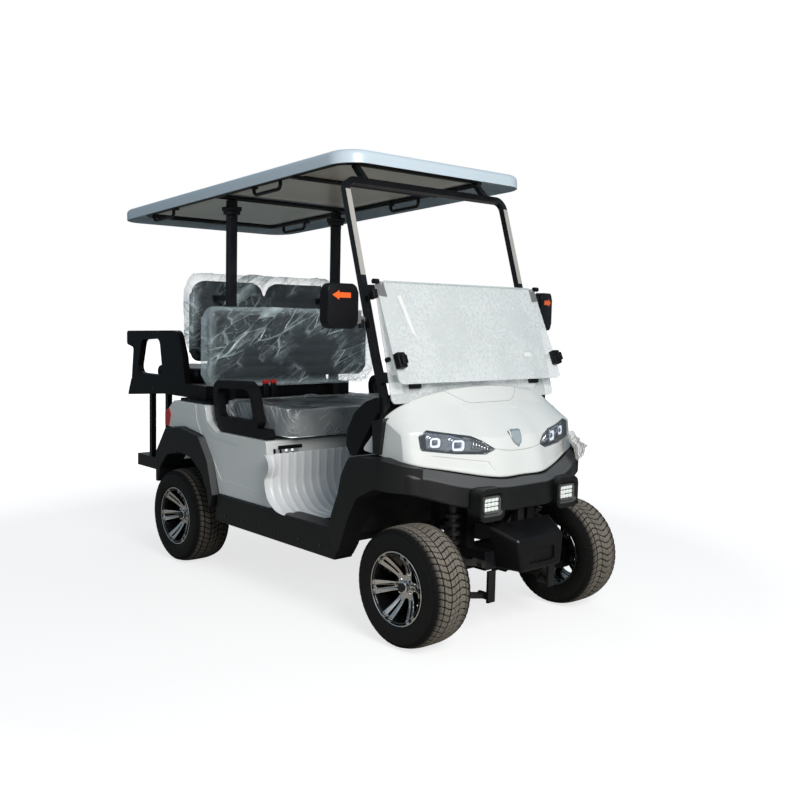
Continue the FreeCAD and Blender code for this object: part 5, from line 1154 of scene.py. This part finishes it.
def buildMirrors():
    look = mirrorLook
    bm = bmesh.new()
    back, face, height = look["x"], look["x"] + look["deep"], look["z"]
    halfY, halfZ = look["wide"] / 2, look["tall"] / 2
    glassY, glassZ = look["glass"]
    for sign in (-1, 1):
        middle = sign * look["y"]
        before = set(bm.verts)
        slab = {"flat": 0, "low": back, "high": face, "rim": look["rim"]}
        padBlock(bm, slab, (middle - halfY, middle + halfY, height - halfZ, height + halfZ, (look["corner"],) * 4))
        low, high = (middle - glassY, height - glassZ), (middle + glassY, height + glassZ)
        addBox(bm, (back - 0.001, *low), (back + 0.002, *high), 0.001, 1, 2)
        outward, inward, rise = look["arrow"]
        tip, tail, zc = middle + sign * outward, middle - sign * inward, height + rise
        half = [(tip - sign * y, z) for y, z in look["arrowHead"]] + [(tail, look["arrowHead"][-1][1])]
        points = [(y, zc + z) for y, z in half] + [(y, zc - z) for y, z in half[:0:-1]]
        top, low = ([bm.verts.new((x, y, z)) for y, z in points] for x in (face + 0.001, face - 0.003))
        bm.faces.new(top).material_index = 1
        bridgeRings(bm, top, low, 1)
        if sign > 0:
            pivot = Matrix.Translation((back + 0.026, middle - 0.02, 0))
            shrink = Matrix.Scale(look["farSize"][1], 4, (0, 1, 0)) @ Matrix.Scale(look["farSize"][0], 4, (1, 0, 0))
            turn = pivot @ Matrix.Rotation(look["farTurn"], 4, "Z") @ shrink @ pivot.inverted()
            bmesh.ops.transform(bm, matrix=turn, verts=[v for v in bm.verts if v not in before])
        for near, far, z0, z1, x0, x1 in look["arm"]:
            y0, y1 = sorted((sign * near, sign * far))
            addBox(bm, (x0, y0, z0), (x1, y1, z1), 0.005, 2, 3)
        x, y, z0, z1, radius = look["pin"]
        addRod(bm, (x, sign * y, z0), (x, sign * y, z1), radius, 20)
    kinds = ("black_trim", "arrow_amber", "chrome", "arm_grey")
    fromBmesh("turnMirrors", bm, kinds, "chassis", replacing=("mirrors",), slot="black_trim", sharp=35)


# Windscreen: the panes' own place, then their hinge plates, latches, clips, knobs and tape
paneLook = {"topX": 0.909, "topZ": 1.518, "thickness": 0.005, "gap": 0.0053,
            "upperLean": math.radians(23.2), "lowerLean": math.radians(15.5)}
screenLook = {"plate": ((0.519, 0.003), (0.480, 0.005), (0.478, 0.072), (0.521, 0.066)), "plateThick": 0.0025,
              "pin": (0.512, 0.540, 0.004, 0.006, 0.011), "knob": (0.525, 0.345, 0.011, (0.016, 0, 0.004)),
              # hinge block, the latch block's two steps and a clip: y, drop, on the upper pane, corners, bevel
              "blocks": ((0.534, 0.055, False, (-0.030, -0.013, -0.020), (0.010, 0.013, 0.020), 0.004),
                         (0.512, 0.368, True, (0.0, -0.022, -0.034), (0.034, 0.022, 0.034), 0.006),
                         (0.512, 0.368, True, (0.030, -0.015, -0.022), (0.050, 0.015, 0.018), 0.005),
                         (0.392, 0.462, False, (0.0, -0.034, -0.012), (0.014, 0.034, 0.012), 0.0055)),
              # white tape and a label left bare
              "tapes": (((-0.418, 0.066), (-0.396, 0.062), (-0.368, 0.240), (-0.350, 0.268), (-0.388, 0.238)),
                        ((0.305, 0.335), (0.355, 0.335), (0.355, 0.355), (0.305, 0.355))), "tapeThick": 0.0006,
              # a pale bar along the fold's top edge, a painted highlight
              "edge": ((-0.496, 0.016), (-0.490, 0.004), (-0.470, 0.0), (0.470, 0.0), (0.490, 0.004), (0.496, 0.016)),
              "highlightForm": {"Radius": 0.0042, "Sides": 12}}


def panePoint(y, drop, upper, ahead=0.0):
    # a point on the front of a pane, measured down the pane from the fold
    look = paneLook
    lean = look["upperLean"] if upper else look["lowerLean"]
    out = look["thickness"] + ahead
    x = look["topX"] + (look["gap"] if upper else 0.0) + out * math.cos(lean) + math.sin(lean) * drop
    return Vector((x, y, look["topZ"] - math.cos(lean) * drop + out * math.sin(lean)))


def addPatch(bm, corners, thickness, material=0):
    normal = (corners[1] - corners[0]).cross(corners[2] - corners[0]).normalized()
    normal = -normal if normal.x < 0 else normal
    low, top = ([bm.verts.new(p + normal * lift) for p in corners] for lift in (0, thickness))
    bm.faces.new(top).material_index = material
    bm.faces.new(low[::-1]).material_index = material
    bridgeRings(bm, low, top, material)


def lineEdges(count, base=0):
    return [(base + i, base + i + 1) for i in range(count - 1)]


def buildScreenFittings():
    look = screenLook
    bm = bmesh.new()
    inner, outer, drop, ahead, radius = look["pin"]
    knobY, knobDrop, knobRadius, knobReach = look["knob"]
    for sign in (-1, 1):
        addPatch(bm, [panePoint(sign * y, down, True) for y, down in look["plate"]], look["plateThick"], 1)
        addRod(bm, *(panePoint(sign * y, drop, True, ahead) for y in (inner, outer)), radius)
        for y, down, upper, low, high, bevel in look["blocks"]:
            lean = paneLook["upperLean"] if upper else paneLook["lowerLean"]
            turn = Matrix.Translation(panePoint(sign * y, down, upper)) @ Matrix.Rotation(-lean, 4, "Y")
            addBox(bm, low, high, bevel, turn=turn)
        knob = panePoint(sign * knobY, knobDrop, False)
        addRod(bm, knob, knob + Vector(knobReach), knobRadius, 20)
    for tape in look["tapes"]:
        addPatch(bm, [panePoint(y, down, True) for y, down in tape], look["tapeThick"], 2)
    fromBmesh("screenFittings", bm, ("black_trim", "hinge_plate", "tape_white"), "chassis", sharp=35)
    # the pale bar along the fold is a painted highlight
    edge = [panePoint(y, down, True) for y, down in look["edge"]]
    grow("foldHighlightBar", barTree, "chassis", edge, lineEdges(len(edge)), "edge_clear", look["highlightForm"])


# Pale seal strips down the pillars' front faces
stripLook = {"low": 1.548, "high": 1.925, "x": 0.818, "z": 1.60, "lean": 0.307, "inner": 0.503, "outer": 0.5305,
             "thick": 0.0012}


def buildStrips():
    look = stripLook
    bm = bmesh.new()
    for sign in (-1, 1):
        corners = (("inner", "low"), ("outer", "low"), ("outer", "high"), ("inner", "high"))
        addPatch(bm, [Vector((look["x"] - look["lean"] * (look[z] - look["z"]), sign * look[y], look[z]))
                      for y, z in corners], look["thick"])
    fromBmesh("pillarStrips", bm, ("strip_grey",), "chassis", sharp=40)


buildMirrors()
buildScreenFittings()
buildStrips()
print("mirrors and windscreen fitted")


# Ribbed floor mat that hangs down the seat box and onto the sill
matLook = {"front": 0.256, "top": 0.700, "floor": 0.414, "low": -0.636, "high": -0.12, "ribs": 11, "bend": 0.17,
           "ahead": 0.16, "steps": 70, "columns": 132, "rib": 0.0045, "wave": 0.004, "bulge": 0.035, "wall": 0.0025,
           # the outer edge runs inward from this far down, by this much
           "trimStart": 0.20, "trim": 0.26}


def buildMat():
    # sampled along its length from the top edge down the box, round the bend and out over the floor
    look = matLook
    steps, columns, bend, broad = look["steps"], look["columns"], look["bend"], look["high"] - look["low"]
    down = look["top"] - look["floor"] - bend
    arc = math.pi / 2 * bend
    run = down + arc + look["ahead"]
    verts = []
    for i in range(steps + 1):
        s = run * i / steps
        if s < down:
            x, z, nx, nz = look["front"], look["top"] - s, 1.0, 0.0
        elif s < down + arc:
            nx, nz = math.cos((s - down) / bend), math.sin((s - down) / bend)
            x, z = look["front"] + bend - bend * nx, look["floor"] + bend - bend * nz
        else:
            x, z, nx, nz = look["front"] + bend + (s - down - arc), look["floor"], 0.0, 1.0
        trim = look["trim"] * max(0.0, (s - look["trimStart"]) / (run - look["trimStart"])) ** 2.2
        for j in range(columns + 1):
            y = look["low"] + trim + (broad - trim) * j / columns
            inward = y - look["low"]
            rib = look["rib"] * max(0.0, math.cos(math.tau * inward / broad * look["ribs"])) ** 0.6
            wave = abs(look["wave"] * math.sin(7 * s + 3 * y))
            # the outer part bulges past the body side and rests on the sill
            lean = look["bulge"] * max(0.0, 1 - inward / 0.10) * math.sin(math.pi * min(1.0, s / down))
            verts.append((x + nx * (0.004 + rib + wave + lean), y, z + nz * (0.003 + rib)))
    piece = fromFaces("floorMat", verts, list(gridFaces(steps, columns)), ("mat_clear",), "chassis", sharp=60)
    wall = piece.modifiers.new("matWall", "SOLIDIFY")
    wall.thickness, wall.offset = look["wall"], -1


# Label strips left blank over the vents, seat latch and belt buckles
# a box is its places along y, its half width, x from and to, z from and to, bevel, segments and finish
smallLook = {"boxes": (((-0.475, 0.475), 0.072, 0.2505, 0.2535, 0.716, 0.735, 0.001, 1, 0),
                       ((0.0,), 0.020, 0.250, 0.257, 0.720, 0.738, 0.002, 2, 0),
                       ((-0.215, -0.165), 0.017, -0.360, -0.338, 0.900, 0.985, 0.005, 2, 0),
                       ((-0.215, -0.165), 0.018, -0.361, -0.337, 0.985, 1.006, 0.005, 2, 2)),
             "latchBar": ((0.2565, -0.028, 0.731), (0.2565, 0.028, 0.731), 0.003)}


def buildSmallFittings():
    bm = bmesh.new()
    for places, half, x0, x1, z0, z1, *rest in smallLook["boxes"]:
        for y in places:
            addBox(bm, (x0, y - half, z0), (x1, y + half, z1), *rest)
    addRod(bm, *smallLook["latchBar"], 12, 1)
    fromBmesh("smallFittings", bm, ("black_trim", "chrome", "buckle_red"), "chassis", sharp=35)


# Roof fittings: clamps along the side rails and flared brackets at the struts' heads
roofLook = {"rearX": -1.345, "rearZ": 1.894, "slope": math.radians(3.66), "railY": 0.462, "railHeight": 0.0407,
            "clamps": (0.45, 1.25, 1.60), "clamp": ((-0.010, -0.016, -0.020), (0.010, 0.016, 0.008)),
            "head": (-0.476, 0.359, 1.930), "bracket": (0.027, 0.022, 0.012),
            "steps": ((-0.045, 0.0), (-0.020, 0.010), (0.0, 0.016))}


def roofPoint(run, y):
    look = roofLook
    c, s, height = math.cos(look["slope"]), math.sin(look["slope"]), look["railHeight"]
    return Vector((look["rearX"] + run * c - height * s, y, look["rearZ"] + run * s + height * c))


def buildRoofFittings():
    look = roofLook
    bm = bmesh.new()
    deep, broad, half = look["bracket"]
    headX, headY, headZ = look["head"]
    for sign in (-1, 1):
        for run in look["clamps"]:
            addBox(bm, *look["clamp"], 0.003, turn=Matrix.Translation(roofPoint(run, sign * look["railY"])))
        for lift, more in look["steps"]:
            addBox(bm, (-deep - more, -broad - more, -half), (deep + more, broad + more, half), 0.004,
                   turn=Matrix.Translation((headX, sign * headY, headZ + lift)))
    fromBmesh("roofFittings", bm, ("tube_black",), "chassis", sharp=40)


buildMat()
buildSmallFittings()
buildRoofFittings()
print("fittings placed")


# Lines and fasteners on the body: shut lines of the bonnet, screws round the arches, sills, tray and box
seamLook = {"form": {"Radius": 0.0011, "Sides": 6}, "lift": 0.0002, "perRun": 8,
            # the near half of each shut line, mirrored over the middle
            "halves": (((1.062, -0.233, 1.049), (1.098, -0.190, 1.023), (1.124, -0.136, 1.000), (1.131, -0.060, 0.998)),
                       ((1.291, -0.164, 0.820), (1.301, -0.124, 0.811), (1.304, -0.060, 0.803), (1.303, 0.0, 0.801)))}
screwLook = {"form": {"Radius": 0.0052, "Height": 0.0032, "Sides": 12, "Flange": 1.5}, "lift": 0.001,
             "arches": ((frontX, "front_bumper"), (rearX, "rear_flares")), "archRadius": 0.345, "archY": 0.64,
             "archAngles": range(14, 167, 19), "boxX": 1.46, "boxY": (-0.17, 0.17), "boxZ": (0.335, 0.455),
             # rows on both sides: node, places along x, y, z and how squarely the surface has to face out
             "sides": (("side_sills", (-0.14, 0.02, 0.18, 0.34, 0.50, 0.66), 0.62, 0.335, 0.6),
                       ("rear_tray", (-1.36, -1.10, -0.84, -0.58), 0.58, 0.912, 0.8))}


def buildSeams():
    verts, edges = [], []
    for half in seamLook["halves"]:
        seam = [*half, *((x, -y, z) for x, y, z in reversed(half) if y)]
        run = [onSurface("front_cowl", p, seamLook["lift"])[0] for p in smoothPath(seam, seamLook["perRun"])]
        edges += lineEdges(len(run), len(verts))
        verts += run
    grow("bonnetShutLines", barTree, "chassis", verts, edges, "seam_grey", seamLook["form"])


def screwPlaces():
    # wanted places near each node, kept where the surface faces the right way
    look = screwLook
    reach = look["archRadius"]
    for wheelX, node in look["arches"]:
        for angle in map(math.radians, look["archAngles"]):
            for sign in (-1, 1):
                place = (wheelX + reach * math.cos(angle), sign * look["archY"], axleZ + reach * math.sin(angle))
                yield node, place, (0, sign, 0), 0.6
    for node, along, y, z, least in look["sides"]:
        for x in along:
            for sign in (-1, 1):
                yield node, (x, sign * y, z), (0, sign, 0), least
    for y in look["boxY"]:
        for z in look["boxZ"]:
            yield "bumper_box", (look["boxX"], y, z), (1, 0, 0), 0.6


def buildScrews():
    verts, facing = [], []
    for node, place, way, least in screwPlaces():
        spot, normal = onSurface(node, place)
        if normal.dot(Vector(way)) > least:
            verts.append(spot + normal * screwLook["lift"])
            facing.append(normal)
    print("screws set:", len(verts))
    grow("bodyScrews", fastenerTree, "chassis", verts, [], "tube_black", screwLook["form"], facing)


# Roof lining: shallow pressed panels under the moulding, warm in front and pale behind
linerLook = {"panels": ((-0.42, 0.60, 0), (-1.25, -0.53, 1)), "half": 0.435, "level": 2.0341, "rise": 0.0640,
             "corner": 0.06, "cells": 0.0125, "gap": 0.0012, "relief": 0.0075, "slant": 0.02, "border": 0.045,
             "pressed": 0.6}


def buildLiner():
    look = linerLook
    half, corner = look["half"], look["corner"]
    verts, faces, kinds = [], [], []
    for x0, x1, kind in look["panels"]:
        columns, rows = round(2 * half / look["cells"]), round((x1 - x0) / look["cells"])
        # turned over against the grid's own order
        faces += [(a, d, c, b) for a, b, c, d in gridFaces(rows, columns, len(verts))]
        kinds += [kind] * (rows * columns)
        for i in range(rows + 1):
            for j in range(columns + 1):
                x, y = x0 + (x1 - x0) * i / rows, -half + 2 * half * j / columns
                # distance in from a round-cornered border
                dx, dy = min(x - x0, x1 - x), half - abs(y)
                inside = min(dx, dy) if dx > corner or dy > corner else corner - math.hypot(corner - dx, corner - dy)
                rim, field = (max(0.0, min(1.0, (inside - start) / look["slant"])) for start in (0, look["border"]))
                ridge = rim - look["pressed"] * field
                verts.append((x, y, look["level"] + look["rise"] * x - look["gap"] - look["relief"] * ridge))
    fromFaces("roofLining", verts, faces, ("liner_warm", "liner_pale"), "chassis", kinds, sharp=60)


buildSeams()
buildScrews()
buildLiner()
print("lines, screws and lining placed")
